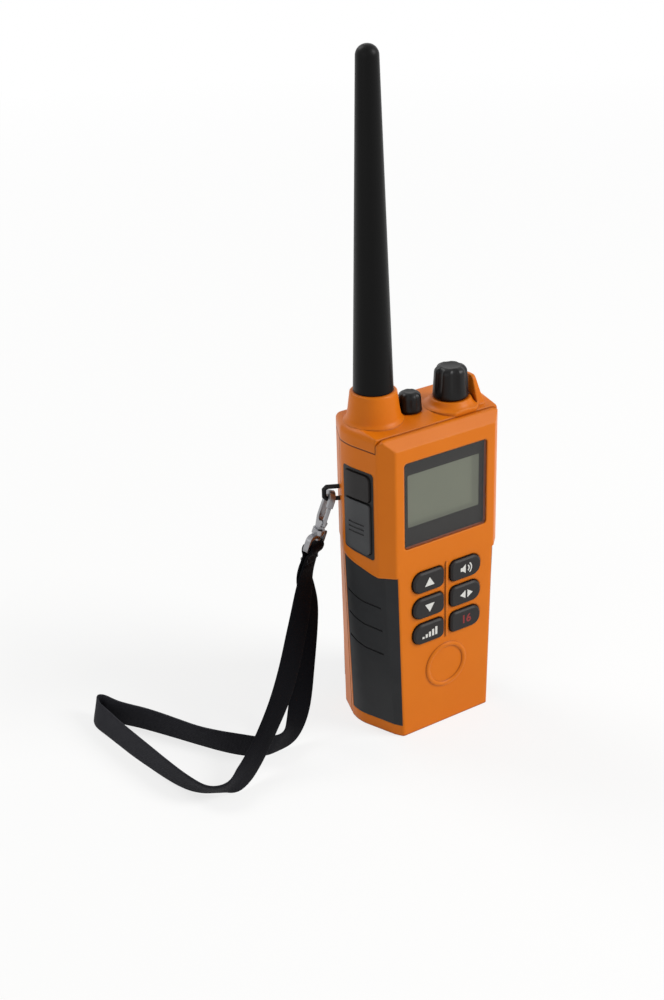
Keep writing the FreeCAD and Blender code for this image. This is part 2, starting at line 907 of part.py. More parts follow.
def chassis():
    """Cast frame that carries the board, takes its heat and holds the case screws."""
    z0, z1 = 10.0, seam_z - 9
    corners = [
        (-19, z0, 0),
        (19, z0, 0),
        (21.5, waist_z, 0),
        (23.5, waist_z + 8, 0),
        (23.5, z1, 0),
        (-21, z1, 0),
        (-21, waist_z, 0),
    ]
    plate = prism(corners, at_y(chassis_y), Vector(0, chassis_t, 0))
    for i in range(6):
        z = 30 + i * 14
        plate = plate.fuse(box(-15, 15, chassis_y + chassis_t, split_y + gasket_t - 0.3, z, z + 1.2))
    for z in (24.0, 66.0):
        plate = plate.cut(box(-9, 9, chassis_y - 1, 12, z + 3, z + 9))
    for x, z in screw_places():
        boss = box(x - 2.4, x + 2.4, chassis_y, split_y + gasket_t - 0.3, z - 2.4, z + 2.4)
        plate = plate.fuse(boss).cut(rod(screw_r, Vector(x, 0, z), Vector(x, 12, z)))
    return plate.removeSplitter()


def speaker():
    """Round speaker behind the bead: basket, magnet and cone."""
    centre = Vector(0, panel_y + 0.3, ring_z)
    along = Vector(0, 1, 0)
    rim = Part.makeCylinder(12.0, 1.4, centre, along)
    basket = Part.makeCone(11.4, 7.0, 4.0, centre + along * 1.4, along)
    magnet = Part.makeCylinder(6.6, 3.4, centre + along * 5.4, along)
    cone = Part.makeCone(9.8, 3.0, 3.0, centre, along)
    return rim.fuse(basket).fuse(magnet).cut(cone)


def microphone():
    start = Vector(-10.5, panel_y + 0.3, 9.0)
    return Part.makeCylinder(3.0, 3.2, start, Vector(0, 1, 0))


def radio_contacts():
    """Sprung pins that reach through the bay floor to the battery."""
    return contact_pins(contact_half)


def contact_pins(half):
    pins = []
    for i in range(contact_count):
        x = (i - (contact_count - 1) / 2) * contact_step
        z0, z1 = contact_z - half, contact_z + half
        pins.append(box(x - half, x + half, split_y + gasket_t - 0.4, battery_y + 1.3, z0, z1))
    return Part.makeCompound(pins)


# ---- antenna ----

def antenna_sheath():
    """Tapered rubber sheath with a domed end."""
    r0, r1 = antenna_base_r, antenna_tip_r
    z0, z1 = boss_top_z + 0.1, antenna_top_z
    body = turned([(0, z0, 0), (r0, z0, 0), (r1, z1, r1 * 0.98), (0, z1, 0)], antenna_x, antenna_y)
    return body.cut(antenna_core(stud_r, whip_r))


def antenna_core(wide, narrow):
    """The stud and the whip above it, as one shape."""
    middle = boss_top_z + stud_len * 0.6
    stud = rod(wide, Vector(antenna_x, antenna_y, middle - stud_len), Vector(antenna_x, antenna_y, middle))
    whip = rod(narrow, Vector(antenna_x, antenna_y, middle), Vector(antenna_x, antenna_y, antenna_top_z - 12))
    return stud.fuse(whip)


def antenna_socket():
    """Threaded bush in the deck that the antenna screws into."""
    top = boss_top_z - 0.5
    foot = Vector(antenna_x, antenna_y, deck_z - 4)
    head = Vector(antenna_x, antenna_y, top)
    return rod(socket_r, foot, head).cut(rod(stud_r + shaft_play, foot, head))


# ---- knobs ----

def fluted_knob(x, y, z, height, foot_r, top_r, top_round, flutes, shaft_r):
    """Rubber-covered knob with a rounded top and scooped flutes round its side."""
    top = z + height
    knob = turned(
        [
            (0, z, 0),
            (foot_r, z, 0),
            (top_r, top - top_round, 0),
            (top_r - top_round * 0.3, top - top_round * 0.35, 0),
            (top_r - top_round, top, 0),
            (0, top, 0),
        ],
        x,
        y,
    )
    scoop = foot_r * 0.17
    for i in range(flutes):
        turn = 360 * i / flutes + flute_turn
        out = foot_r + scoop * 0.35
        corners = [
            (out - scoop, -scoop * 0.45, 0),
            (out - scoop * 0.5, -scoop * 1.0, 0),
            (out + scoop, -scoop * 1.3, 0),
            (out + scoop, scoop * 1.3, 0),
            (out - scoop * 0.5, scoop * 1.0, 0),
            (out - scoop, scoop * 0.45, 0),
        ]
        flute = prism(corners, at_z(z + 0.9), Vector(0, 0, height))
        flute.rotate(Vector(0, 0, 0), Vector(0, 0, 1), turn)
        flute.translate(Vector(x, y, 0))
        knob = knob.cut(flute)
    return knob.cut(rod(shaft_r, Vector(x, y, z - 1), Vector(x, y, z + shaft_sink)))


def knob_shaft(x, y, radius, top):
    """Round shaft with the flat that keys the knob."""
    return rod(radius, Vector(x, y, seam_z - 4), Vector(x, y, top))


def control(x, y, width, radius):
    """Rotary control under the deck: square can and bush round the shaft."""
    foot = seam_z - 6.5
    can = prism(rectangle(x, y, width, width), at_z(foot), Vector(0, 0, 7.0))
    bush = rod(radius + 0.28, Vector(x, y, foot + 6), Vector(x, y, deck_z - 2.2))
    hole = rod(radius + shaft_play, Vector(x, y, foot + 2.2), Vector(x, y, 160))
    return can.fuse(bush).cut(hole)


def seal_ring(x, y, radius, top):
    foot, head = Vector(x, y, top - seal_t), Vector(x, y, top - 0.1)
    return rod(radius + 1.65, foot, head).cut(rod(radius + shaft_play, foot, head))


# ---- battery ----

def battery_case():
    side, foot, top = battery_side, battery_foot_z, battery_top_z
    thick = prism(
        [
            (-side, battery_y, 0.8),
            (side, battery_y, 0.8),
            (side, back_y - 3.4, 2.0),
            (side - 4.2, back_y, 2.0),
            (-side + 4.2, back_y, 2.0),
            (-side, back_y - 3.4, 2.0),
        ],
        at_z(foot),
        Vector(0, 0, top - foot),
    )
    latch_room = box(-60, 60, back_y - latch_t - latch_gap, 60, latch_z - latch_tail - 1.0, 200)
    case = thick.cut(latch_room)
    depth = back_y - latch_t - latch_gap - battery_wall - battery_y
    width, height = battery_w - 2 * battery_wall, top - foot - 2 * battery_wall
    inner = prism(rectangle(0, (foot + top) / 2, width, height), at_y(battery_y - 1), Vector(0, depth + 1, 0))
    case = case.cut(inner).fuse(comb())
    return case.fuse(latch_ears()).removeSplitter()


def comb():
    """Row of hooks on the foot of the battery that catch the radio's lower edge."""
    foot = battery_foot_z
    y0 = battery_y + 0.6
    rib = [
        (y0 + 5.6, foot + 0.5, 0),
        (y0 + 2.7, foot + 0.5, 0),
        (y0 + 2.7, foot - 3.2, 0),
        (y0 + 0.2, foot - 3.0, 0),
        (y0 + 0.8, foot - comb_drop, 0.8),
        (y0 + 8.6, foot - comb_drop, 0),
        (y0 + 8.6, foot + 0.5, 0),
    ]
    shape = prism(
        [
            (y0 + 5.6, foot - comb_drop + 0.2, 0),
            (y0 + 10.6, foot - comb_drop + 0.2, 1.6),
            (y0 + 10.6, foot + 0.5, 0),
            (y0 + 5.6, foot + 0.5, 0),
        ],
        at_x(-battery_side + 3),
        Vector(battery_w - 6, 0, 0),
    )
    for i in range(comb_count):
        x = (i - (comb_count - 1) / 2) * comb_step
        shape = shape.fuse(prism(rib, at_x(x - comb_w / 2), Vector(comb_w, 0, 0)))
    return shape


def latch_ears():
    """Two ears that carry the latch pin."""
    y = latch_pin_y()
    foot = back_y - latch_t - latch_gap - 1.0
    pair = None
    for x in (-latch_w / 2 + 1.5, latch_w / 2 - 4.5):
        ear = prism(
            [
                (foot, latch_z - 2.2, 0),
                (y + 1.7, latch_z - 1.7, 1.6),
                (y + 1.7, latch_z + 1.7, 1.6),
                (foot, latch_z + 2.2, 0),
            ],
            at_x(x),
            Vector(3.0, 0, 0),
        )
        pair = ear if pair is None else pair.fuse(ear)
    return pair.cut(rod(pin_r, Vector(-30, y, latch_z), Vector(30, y, latch_z)))


def latch_pin_y():
    return back_y - latch_t / 2


def battery_lid():
    """Inner face of the battery, with the contact recess near its top end."""
    height = battery_top_z - battery_foot_z - 2 * battery_wall
    middle = (battery_foot_z + battery_top_z) / 2
    plate = rectangle(0, middle, battery_w - 2 * battery_wall, height)
    lid = prism(plate, at_y(battery_y), Vector(0, 2.6, 0))
    lid = lid.cut(box(-8.5, 8.5, battery_y - 1, battery_y + 1.4, contact_z - 4.5, contact_z + 4.5))
    for i in range(contact_count):
        x = (i - (contact_count - 1) / 2) * contact_step
        lid = lid.cut(box(x - 0.8, x + 0.8, battery_y, battery_y + 5, contact_z - 2.0, contact_z + 2.0))
    return lid


def battery_contacts():
    pads = []
    for i in range(contact_count):
        x = (i - (contact_count - 1) / 2) * contact_step
        pads.append(box(x - 0.8, x + 0.8, battery_y + 1.5, battery_y + 2.5, contact_z - 2.0, contact_z + 2.0))
    return Part.makeCompound(pads)


def battery_cells():
    """Two flat cells side by side."""
    y0 = battery_y + 2.6 + 0.3
    y1 = back_y - latch_t - latch_gap - battery_wall - 0.3
    z0, z1 = battery_foot_z + battery_wall + 1.5, battery_top_z - battery_wall - 6
    width = battery_side - battery_wall - 1.2
    cells = []
    for side in (-1, 1):
        x = side * (width / 2 + 0.3)
        cells.append(box(x - width / 2, x + width / 2, y0, y1, z0, z1))
    return Part.makeCompound(cells)


def battery_latch():
    """Lever on the back with two prongs that hook over the radio's top shelf."""
    y0 = back_y - latch_t
    foot, top = latch_z - latch_tail, battery_top_z + prong_rise
    half, inner = latch_w / 2, prong_x() - prong_w / 2
    front = [
        (-half, foot, 1.2),
        (half, foot, 1.2),
        (half, top, 1.2),
        (inner, top, 1.2),
        (inner, top - 4.5, 0),
        (9, top - 4.5, 1.5),
        (9, top - 9.5, 2.5),
        (-9, top - 9.5, 2.5),
        (-9, top - 4.5, 1.5),
        (-inner, top - 4.5, 0),
        (-inner, top, 1.2),
        (-half, top, 1.2),
    ]
    lever = prism(front, at_y(y0), Vector(0, latch_t, 0))
    slope = [(y0, top - 0.2, 0), (y0 + 9, top - 7.4, 0), (y0 + 9, top + 5, 0), (y0, top + 5, 0)]
    lever = lever.cut(prism(slope, at_x(-60), Vector(120, 0, 0)))
    z0 = seam_z + 0.35
    tip_y = rail_back_y - 2.4
    for side in (-1, 1):
        hook = [(y0 + 1, z0, 0), (tip_y, z0, 0), (tip_y, z0 + 2.0, 0), (y0 + 1, top, 0)]
        lever = lever.fuse(prism(hook, at_x(side * prong_x() - prong_w / 2), Vector(prong_w, 0, 0)))
    for x in (-half + 1.2, half - 4.8):
        lever = lever.cut(box(x, x + 3.6, y0 - 1, y0 + latch_t + 1, latch_z - 3.2, latch_z + 2.6))
    for i in range(4):
        z = latch_z + 12 + i * 3.0
        lever = lever.cut(box(-8, 8, back_y - 0.5, back_y + 1, z, z + 1.0))
    hole = rod(pin_r + pin_play, Vector(-30, latch_pin_y(), latch_z), Vector(30, latch_pin_y(), latch_z))
    return lever.cut(hole).removeSplitter()


def latch_pin():
    half = latch_w / 2 - 0.4
    return rod(pin_r, Vector(-half, latch_pin_y(), latch_z), Vector(half, latch_pin_y(), latch_z))


# ---- belt clip ----

def clip_pin_y():
    return back_y + clip_offset


def clip_bracket():
    """Plate on the battery with two ears that hold the clip's pin."""
    y, z = clip_pin_y(), clip_pivot_z
    shape = prism(rectangle(0, z, 20, 14, 1.5), at_y(back_y), Vector(0, 1.0, 0))
    ear = [
        (back_y + 0.5, z - 4, 0),
        (y + 1.7, z - 1.9, 1.6),
        (y + 1.7, z + 1.9, 1.6),
        (back_y + 0.5, z + 4, 0),
    ]
    for x in (-10.0, 7.4):
        shape = shape.fuse(prism(ear, at_x(x), Vector(2.6, 0, 0)))
    return shape.cut(rod(pin_r, Vector(-30, y, z), Vector(30, y, z))).removeSplitter()


def belt_clip():
    """Sprung blade that closes on the battery at its round lower end."""
    y, z = clip_pin_y(), clip_pivot_z
    outer = back_y + clip_gap + clip_t
    blade = [
        (outer - clip_t, z + 9, 0),
        (outer - clip_t, clip_foot_z + 9, 8),
        (back_y + 0.5, clip_foot_z + 3.4, 0.8),
        (back_y + 1.6, clip_foot_z, 0.6),
        (back_y + 4.2, clip_foot_z, 1.5),
        (outer, clip_foot_z + 7, 10),
        (outer, z + 9, 1.2),
    ]
    body = prism(blade, at_x(-clip_w / 2), Vector(clip_w, 0, 0))
    half, low = clip_w / 2, clip_foot_z - 0.2
    face = [(-half, z + 10, 0), (-half + 2.5, low, 7.5), (half - 2.5, low, 7.5), (half, z + 10, 0)]
    body = body.common(prism(face, at_y(back_y - 1), Vector(0, 20, 0)))
    ear = [
        (outer - 0.5, z - 3.4, 0),
        (y - 1.4, z - 1.5, 1.3),
        (y - 1.4, z + 1.5, 1.3),
        (outer - 0.5, z + 3.4, 0),
    ]
    ear.reverse()
    for x in (-6.9, 4.7):
        body = body.fuse(prism(ear, at_x(x), Vector(2.2, 0, 0)))
    return body.cut(rod(pin_r + pin_play, Vector(-30, y, z), Vector(30, y, z))).removeSplitter()


def clip_pin():
    return rod(pin_r, Vector(-10.8, clip_pin_y(), clip_pivot_z), Vector(10.8, clip_pin_y(), clip_pivot_z))


def clip_spring():
    """Torsion spring on the pin, drawn as its outer sleeve with one leg."""
    y, z = clip_pin_y(), clip_pivot_z
    leg = box(-3.6, -3.0, back_y + 1.1, back_y + 1.6, z - 6.0, z)
    coil = rod(1.7, Vector(-4.0, y, z), Vector(4.0, y, z)).fuse(leg)
    return coil.cut(rod(pin_r, Vector(-5, y, z), Vector(5, y, z)))


# ---- lanyard hardware ----

def hung_bar(shape):
    """Puts a shape drawn round the bar (bar along Y at the origin, housing towards +X) in its place."""
    slant = math.degrees(math.atan2(head_side - 0.6 - rail_back_x, rail_back_y - taper_y))
    shape.rotate(Vector(0, 0, 0), Vector(0, 0, 1), -slant)
    turn = math.radians(slant)
    middle = Vector(-(head_side - 0.6 + rail_back_x) / 2, (taper_y + rail_back_y) / 2, bar_z)
    shape.translate(middle + Vector(-math.cos(turn), math.sin(turn), 0) * bar_off)
    return shape


def hung_hook(shape, turn):
    """The same, turned about its length and leaning out from the lower leg as the strap holds it."""
    shape.rotate(Vector(0, 0, 0), Vector(0, 0, 1), turn)
    shape.rotate(Vector(0, 0, 0), Vector(0, 1, 0), hook_lean)
    shape.translate(Vector(hook_seat, 0, -bar_half))
    return hung_bar(shape)


def bar_staple():
    """Bent steel wire: out of the shell, down, and back into it, with mitred bends."""
    bend, inside = bar_r * 1.2, bar_off + bar_sink
    points = [
        Vector(inside, 0, bar_half),
        Vector(bend, 0, bar_half),
        Vector(0, 0, bar_half - bend),
        Vector(0, 0, -bar_half + bend),
        Vector(bend, 0, -bar_half),
        Vector(inside, 0, -bar_half),
    ]
    ring = Part.Wire(Part.makeCircle(bar_r, points[0], Vector(1, 0, 0)))
    return Part.Wire(Part.makePolygon(points)).makePipeShell([ring], True, False, 1)


def hook_top():
    return bar_r + hang_play + hook_rod


def hook_foot():
    return hook_top() - hook_len


def snap_hook():
    """Flat cast hook over the bar's lower leg, closed on one side by the gate."""
    top, foot, w = hook_top(), hook_foot(), hook_w / 2
    plate = prism(
        [
            (-1.9, foot, 0.6),
            (1.9, foot, 0.6),
            (w, foot + 4.0, 1.5),
            (w, top, w * 0.95),
            (-w, top, w * 0.95),
            (-w, foot + 4.0, 1.5),
        ],
        at_y(-hook_t / 2),
        Vector(0, hook_t, 0),
    )
    slot_w = hook_w - 2 * hook_rod
    slot_top, slot_foot = top - hook_rod, foot + hook_rod + 1.6
    slot = rectangle(0, (slot_top + slot_foot) / 2, slot_w, slot_top - slot_foot, slot_w * 0.45)
    plate = plate.cut(prism(slot, at_y(-10), Vector(0, 20, 0)))
    mouth = box(slot_w / 2 - 0.1, 10, -10, 10, gate_z() + 1.3, gate_tip_z() + 0.2)
    room = box(slot_w / 2 - 1.2, 10, -gate_t / 2 - 0.15, gate_t / 2 + 0.15, gate_z() - 1.2, gate_z() + 2)
    plate = plate.cut(mouth).cut(room).cut(gate_bore(gate_pin_r))
    stem = rod(swivel_r, Vector(0, 0, stem_foot()), Vector(0, 0, foot + 0.6))
    stop = rod(swivel_r + 0.7, Vector(0, 0, stem_foot()), Vector(0, 0, stem_foot() + 0.8))
    return hung_hook(plate.fuse(stem).fuse(stop).removeSplitter(), hook_turn)


def gate_x():
    return hook_w / 2 - hook_rod / 2


def gate_z():
    return hook_foot() + 3.0


def gate_tip_z():
    return gate_z() + gate_rise


def gate_bore(radius):
    return rod(radius, Vector(gate_x(), -10, gate_z()), Vector(gate_x(), 10, gate_z()))


def hook_gate():
    """Sprung finger that closes the hook; it swings inwards."""
    x, z = gate_x(), gate_z()
    finger = prism(
        [
            (x - 0.9, z - 0.85, 0.7),
            (x + 0.9, z - 0.85, 0.7),
            (x + 0.9, z + 1.0, 0),
            (x + 0.8, gate_tip_z(), 0),
            (x - 0.2, gate_tip_z(), 0),
            (x - 0.9, z + 1.0, 0),
        ],
        at_y(-gate_t / 2),
        Vector(0, gate_t, 0),
    )
    return hung_hook(finger.cut(gate_bore(gate_pin_r + 0.04)), hook_turn)


def gate_pin():
    pin = gate_bore(gate_pin_r).common(box(-10, 10, -hook_t / 2, hook_t / 2, -40, 10))
    return hung_hook(pin, hook_turn)


def eye_top():
    """Top of the flat eye, under the round collar that the hook's stem turns in."""
    return hook_foot() - 0.15 - collar_h


def stem_foot():
    return eye_top() - eye_bar - 0.9


def swivel_eye():
    """Collar on the hook's stem with a flat eye below it for the strap."""
    top, collar_top = eye_top(), eye_top() + collar_h
    collar = rod(collar_r, Vector(0, 0, top - 0.2), Vector(0, 0, collar_top))
    middle = top - eye_h / 2
    eye = prism(rectangle(0, middle, eye_w, eye_h, 2.0), at_y(-eye_t / 2), Vector(0, eye_t, 0))
    opening = rectangle(0, middle, eye_w - 2 * eye_rod, eye_h - 2 * eye_bar)
    eye = eye.cut(prism(opening, at_y(-10), Vector(0, 20, 0))).fuse(collar)
    bore = rod(swivel_r + swivel_play, Vector(0, 0, stem_foot()), Vector(0, 0, collar_top + 1))
    return hung_hook(eye.cut(bore).removeSplitter(), eye_turn)


def fold_top():
    return eye_top() - eye_h + eye_bar + 0.05 + strap_t


def strap_end():
    """The strap folded over the eye's lower bar, its two sides sewn together below."""
    top, foot, bar_foot = fold_top(), fold_top() - strap_end_len, eye_top() - eye_h
    inside = eye_t / 2 + 0.05
    fold = prism(
        [
            (-strap_t, foot, 0),
            (strap_t, foot, 0),
            (strap_t, bar_foot - 2.2, 0),
            (inside + strap_t, bar_foot - 0.2, 0),
            (inside + strap_t, top, 1.7),
            (-inside - strap_t, top, 1.7),
            (-inside - strap_t, bar_foot - 0.2, 0),
            (-strap_t, bar_foot - 2.2, 0),
        ],
        at_x(-strap_w / 2),
        Vector(strap_w, 0, 0),
    )
    room = [
        (0, bar_foot - 1.6, 0),
        (inside, bar_foot - 0.1, 0),
        (inside, top - strap_t, 0),
        (-inside, top - strap_t, 0),
        (-inside, bar_foot - 0.1, 0),
    ]
    return hung_hook(fold.cut(prism(room, at_x(-20), Vector(40, 0, 0))), eye_turn)


# ---- wrist strap ----

def strap_route():
    """Middle line of the strap from its sewn end and back, with the way that its width points."""
    foot = fold_top() - strap_end_len - 0.1
    ends = []
    for side in (-1, 1):
        for z in (foot, foot - strap_lead):
            out = strap_t / 2 + 0.03 * (foot - z)
            ends.append(hung_hook(Part.Vertex(0, side * out, z), eye_turn).Point)
    width = hung_hook(Part.makeLine(Vector(0, 0, 0), Vector(1, 0, 0)), eye_turn)
    across = (width.Vertexes[0].Point - width.Vertexes[1].Point).normalize()
    up = Vector(0, 0, 1)
    middle = [(Vector(*point), across * (1 - lift) + up * lift) for point, lift in strap_points]
    return [(ends[0], across), (ends[1], across)] + middle + [(ends[3], across), (ends[2], across)]


def bend_radius(before, here, after):
    """The arc at a point is as large as its two runs allow."""
    a, b = here - before, after - here
    turn = a.getAngle(b)
    return 0.45 * min(a.Length, b.Length) / math.tan(turn / 2), turn


def strap_stations():
    """Points, directions and widths along straight runs joined by tangent arcs."""
    route = strap_route()
    first, last = route[0], route[-1]
    stations = [(first[0], (route[1][0] - first[0]).normalize(), first[1])]
    radii = []
    for i in range(1, len(route) - 1):
        before, here, after = route[i - 1][0], route[i][0], route[i + 1][0]
        radius, turn = bend_radius(before, here, after)
        radii.append(round(radius, 1))
        a, b = (here - before).normalize(), (after - here).normalize()
        ahead, inward = (a + b).normalize(), (b - a).normalize()
        centre = here + inward * (radius / math.cos(turn / 2))
        steps = max(1, round(math.degrees(turn) / 16))
        for k in range(steps + 1):
            angle = -turn / 2 + turn * k / steps
            point = centre - inward * (radius * math.cos(angle)) + ahead * (radius * math.sin(angle))
            direction = ahead * math.cos(angle) + inward * math.sin(angle)
            near = i - 1 if k * 2 < steps else i + 1
            share = abs(k / steps - 0.5) * 0.9
            width = route[i][1] * (1 - share) + route[near][1] * share
            stations.append((point, direction, width))
    stations.append((last[0], (last[0] - route[-2][0]).normalize(), last[1]))
    return stations, radii


def wrist_strap():
    """Flat webbing: a ribbon through rectangles set square to the route."""
    stations, radii = strap_stations()
    sections = []
    length = 0.0
    for i, (point, direction, across) in enumerate(stations):
        width = (across - direction * across.dot(direction)).normalize()
        face = direction.cross(width)
        a, b = width * (strap_w / 2), face * (strap_t / 2)
        corners = [point + a + b, point - a + b, point - a - b, point + a - b]
        sections.append(Part.makePolygon(corners + corners[:1]))
        if i:
            length += point.distanceToPoint(stations[i - 1][0])
    ribbon = Part.makeLoft(sections, True, True)
    print("strap radii", radii)
    print("strap length", round(length, 1))
    print("strap volume", round(ribbon.Volume, 1), "section x length", round(strap_w * strap_t * length, 1))
    return ribbon


# ---- all nodes ----

def keys():
    names = ("key_up", "key_squelch", "key_down", "key_scan", "key_power", "key_distress")
    return {name: key_cap(x, z, side) for name, (x, z, side) in zip(names, key_places())}


def nodes():
    left_grip, right_grip = grips()
    shapes = {
        "front_shell": front_shell(),
        "rear_shell": rear_shell(),
        "housing_gasket": housing_gasket(),
        "case_screws": case_screws(),
        "top_cap": top_cap(),
        "display_window": display_window(),
        "lcd_module": lcd_module(),
        "lcd_frame": lcd_frame(),
        "keypad_mat": keypad_mat(),
        "left_grip": left_grip,
        "right_grip": right_grip,
        "ptt_frame": ptt_frame(),
        "ptt_button": side_switch(ptt_button_outline(), [91.5, 93.5, 95.5]),
        "side_button": side_switch(side_button_outline(), []),
        "ptt_switches": ptt_switches(),
        "accessory_cover": accessory_cover(),
        "accessory_socket": accessory_socket(),
        "cover_screw": cover_screw(),
        "main_board": main_board(),
        "shield_can": shield_can(),
        "chassis": chassis(),
        "speaker": speaker(),
        "microphone": microphone(),
        "radio_contacts": radio_contacts(),
        "antenna_sheath": antenna_sheath(),
        "antenna_whip": antenna_core(stud_r, whip_r),
        "antenna_socket": antenna_socket(),
        "volume_knob": fluted_knob(
            volume_x, volume_y, volume_z, volume_h, volume_r, volume_top_r, 1.6, volume_flutes, volume_shaft_r
        ),
        "volume_shaft": knob_shaft(volume_x, volume_y, volume_shaft_r, volume_z + shaft_sink),
        "volume_control": control(volume_x, volume_y, 11.0, volume_shaft_r),
        "volume_seal": seal_ring(volume_x, volume_y, volume_shaft_r, volume_z - 0.4),
        "channel_knob": fluted_knob(
            channel_x,
            channel_y,
            channel_z,
            channel_h,
            channel_r,
            channel_r - 0.3,
            1.9,
            channel_flutes,
            channel_shaft_r,
        ),
        "channel_shaft": knob_shaft(channel_x, channel_y, channel_shaft_r, channel_z + shaft_sink),
        "channel_control": control(channel_x, channel_y, 10.0, channel_shaft_r),
        "channel_seal": seal_ring(channel_x, channel_y, channel_shaft_r, deck_z),
        "battery_case": battery_case(),
        "battery_lid": battery_lid(),
        "battery_cells": battery_cells(),
        "battery_contacts": battery_contacts(),
        "battery_latch": battery_latch(),
        "latch_pin": latch_pin(),
        "clip_bracket": clip_bracket(),
        "belt_clip": belt_clip(),
        "clip_pin": clip_pin(),
        "clip_spring": clip_spring(),
        "lanyard_bar": hung_bar(bar_staple()),
        "snap_hook": snap_hook(),
        "hook_gate": hook_gate(),
        "gate_pin": gate_pin(),
        "swivel_eye": swivel_eye(),
        "strap_end": strap_end(),
        "wrist_strap": wrist_strap(),
    }
    shapes.update(keys())
    return shapes


os.makedirs("parts", exist_ok=True)
for name, shape in nodes().items():
    shape.exportStep("parts/" + name + ".step")
    if not shape.isValid():
        print("not valid:", name)
    print(name, "solids", len(shape.Solids), "volume", round(shape.Volume, 1))
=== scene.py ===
import math
import bpy
import bmesh
from mathutils import Matrix, Vector


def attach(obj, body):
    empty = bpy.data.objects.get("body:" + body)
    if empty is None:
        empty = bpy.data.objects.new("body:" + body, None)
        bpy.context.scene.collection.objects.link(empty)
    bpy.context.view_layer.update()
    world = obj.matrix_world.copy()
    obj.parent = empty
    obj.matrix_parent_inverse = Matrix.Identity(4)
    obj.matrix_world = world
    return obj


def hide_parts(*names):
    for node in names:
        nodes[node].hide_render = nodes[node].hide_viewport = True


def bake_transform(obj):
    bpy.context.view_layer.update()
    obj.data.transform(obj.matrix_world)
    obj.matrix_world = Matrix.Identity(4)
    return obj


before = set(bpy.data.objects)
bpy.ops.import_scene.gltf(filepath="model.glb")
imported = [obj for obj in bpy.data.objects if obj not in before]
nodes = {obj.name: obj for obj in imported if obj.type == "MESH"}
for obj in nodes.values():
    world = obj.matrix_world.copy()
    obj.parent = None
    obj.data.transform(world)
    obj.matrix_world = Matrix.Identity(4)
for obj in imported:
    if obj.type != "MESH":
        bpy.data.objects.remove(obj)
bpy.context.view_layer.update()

scene = bpy.context.scene
mm = 0.001

# The radio stands on its flat base at z = 0, its display faces -Y and the antenna runs up +Z.


def linear(hexColour):
    # sRGB hex text to the linear numbers that shaders take
    channels = [int(hexColour[i:i + 2], 16) / 255 for i in (1, 3, 5)]
    return [c / 12.92 if c <= 0.04045 else ((c + 0.055) / 1.055) ** 2.4 for c in channels] + [1.0]


def addNode(material, kind, settings=(), links=()):
    # one shader node with its values and the sockets that feed it
    node = material.node_tree.nodes.new(kind)
    for name, value in dict(settings).items():
        if isinstance(name, int) or name in node.inputs:
            node.inputs[name].default_value = value
        else:
            setattr(node, name, value)
    for name, source in dict(links).items():
        material.node_tree.links.new(source, node.inputs[name])
    return node


def maths(material, operation, *values):
    # one sum; each value is a number or a socket
    numbers = {i: value for i, value in enumerate(values) if isinstance(value, (int, float))}
    sockets = {i: value for i, value in enumerate(values) if i not in numbers}
    return addNode(material, "ShaderNodeMath", {"operation": operation, **numbers}, sockets).outputs[0]


def remap(material, value, low, high, toLow=0.0, toHigh=1.0):
    # a value stretched from one range to another and held at the ends
    settings = {"From Min": low, "From Max": high, "To Min": toLow, "To Max": toHigh}
    return addNode(material, "ShaderNodeMapRange", settings, {"Value": value}).outputs[0]


def varied(material, pattern, middle, vary):
    # a number that goes up and down with a pattern
    return remap(material, pattern, 0.0, 1.0, middle - vary, middle + vary)


def mixTones(material, share, under, over, blend="MIX"):
    # one colour over another; a colour is a hex text or a socket, the share a number or a socket
    settings, links = {"data_type": "RGBA", "blend_type": blend}, {}
    for socket, value in ((0, share), (6, under), (7, over)):
        if isinstance(value, str):
            settings[socket] = linear(value)
        elif isinstance(value, float):
            settings[socket] = value
        else:
            links[socket] = value
    return addNode(material, "ShaderNodeMix", settings, links).outputs[2]


def mixShaders(material, share, under, over):
    return addNode(material, "ShaderNodeMixShader", {}, {0: share, 1: under, 2: over}).outputs[0]


def noise(material, where, patch, detail, roughness=0.5):
    # cloudy noise with patches of the given size in mm
    settings = {"Scale": 1 / (patch * mm), "Detail": detail, "Roughness": roughness}
    return addNode(material, "ShaderNodeTexNoise", settings, {"Vector": where}).outputs["Fac"]


def softNormal(material, arris):
    # normals that turn gently over the arrises, with a radius in mm
    return addNode(material, "ShaderNodeBevel", {"samples": 6, "Radius": arris * mm}).outputs["Normal"]


def relief(material, height, strength, depth, normal=None):
    # a fine relief with a depth in mm
    links = {"Height": height}
    if normal is not None:
        links["Normal"] = normal
    settings = {"Strength": strength, "Distance": depth * mm}
    return addNode(material, "ShaderNodeBump", settings, links).outputs[0]


def emptyMaterial(name):
    material = bpy.data.materials.new(name)
    material.use_nodes = True
    material.node_tree.nodes.clear()
    return material


def placeOn(material):
    # where a spot is on its own piece
    return addNode(material, "ShaderNodeTexCoord").outputs["Object"]


def closeMaterial(material, shader):
    output = addNode(material, "ShaderNodeOutputMaterial", {"target": "ALL"})
    material.node_tree.links.new(shader, output.inputs["Surface"])
    return material


def principled(material, numbers, links):
    return closeMaterial(material, addNode(material, "ShaderNodeBsdfPrincipled", numbers, links).outputs[0])


def joinRings(mesh, first, second, smooth=False):
    # faces between two rings of points; a ring of one point gives triangles
    for k in range(max(len(first), len(second))):
        spots = ((first, k), (first, k + 1), (second, k + 1), (second, k))
        corners = [ring[i % len(ring)] for ring, i in spots]
        corners = [c for i, c in enumerate(corners) if c not in corners[:i]]
        mesh.faces.new(corners).smooth = smooth


def makePiece(name, mesh):
    # the finished mesh as an object, all its faces turned outwards
    bmesh.ops.recalc_face_normals(mesh, faces=mesh.faces)
    data = bpy.data.meshes.new(name)
    mesh.to_mesh(data)
    mesh.free()
    piece = bpy.data.objects.new(name, data)
    scene.collection.objects.link(piece)
    return piece


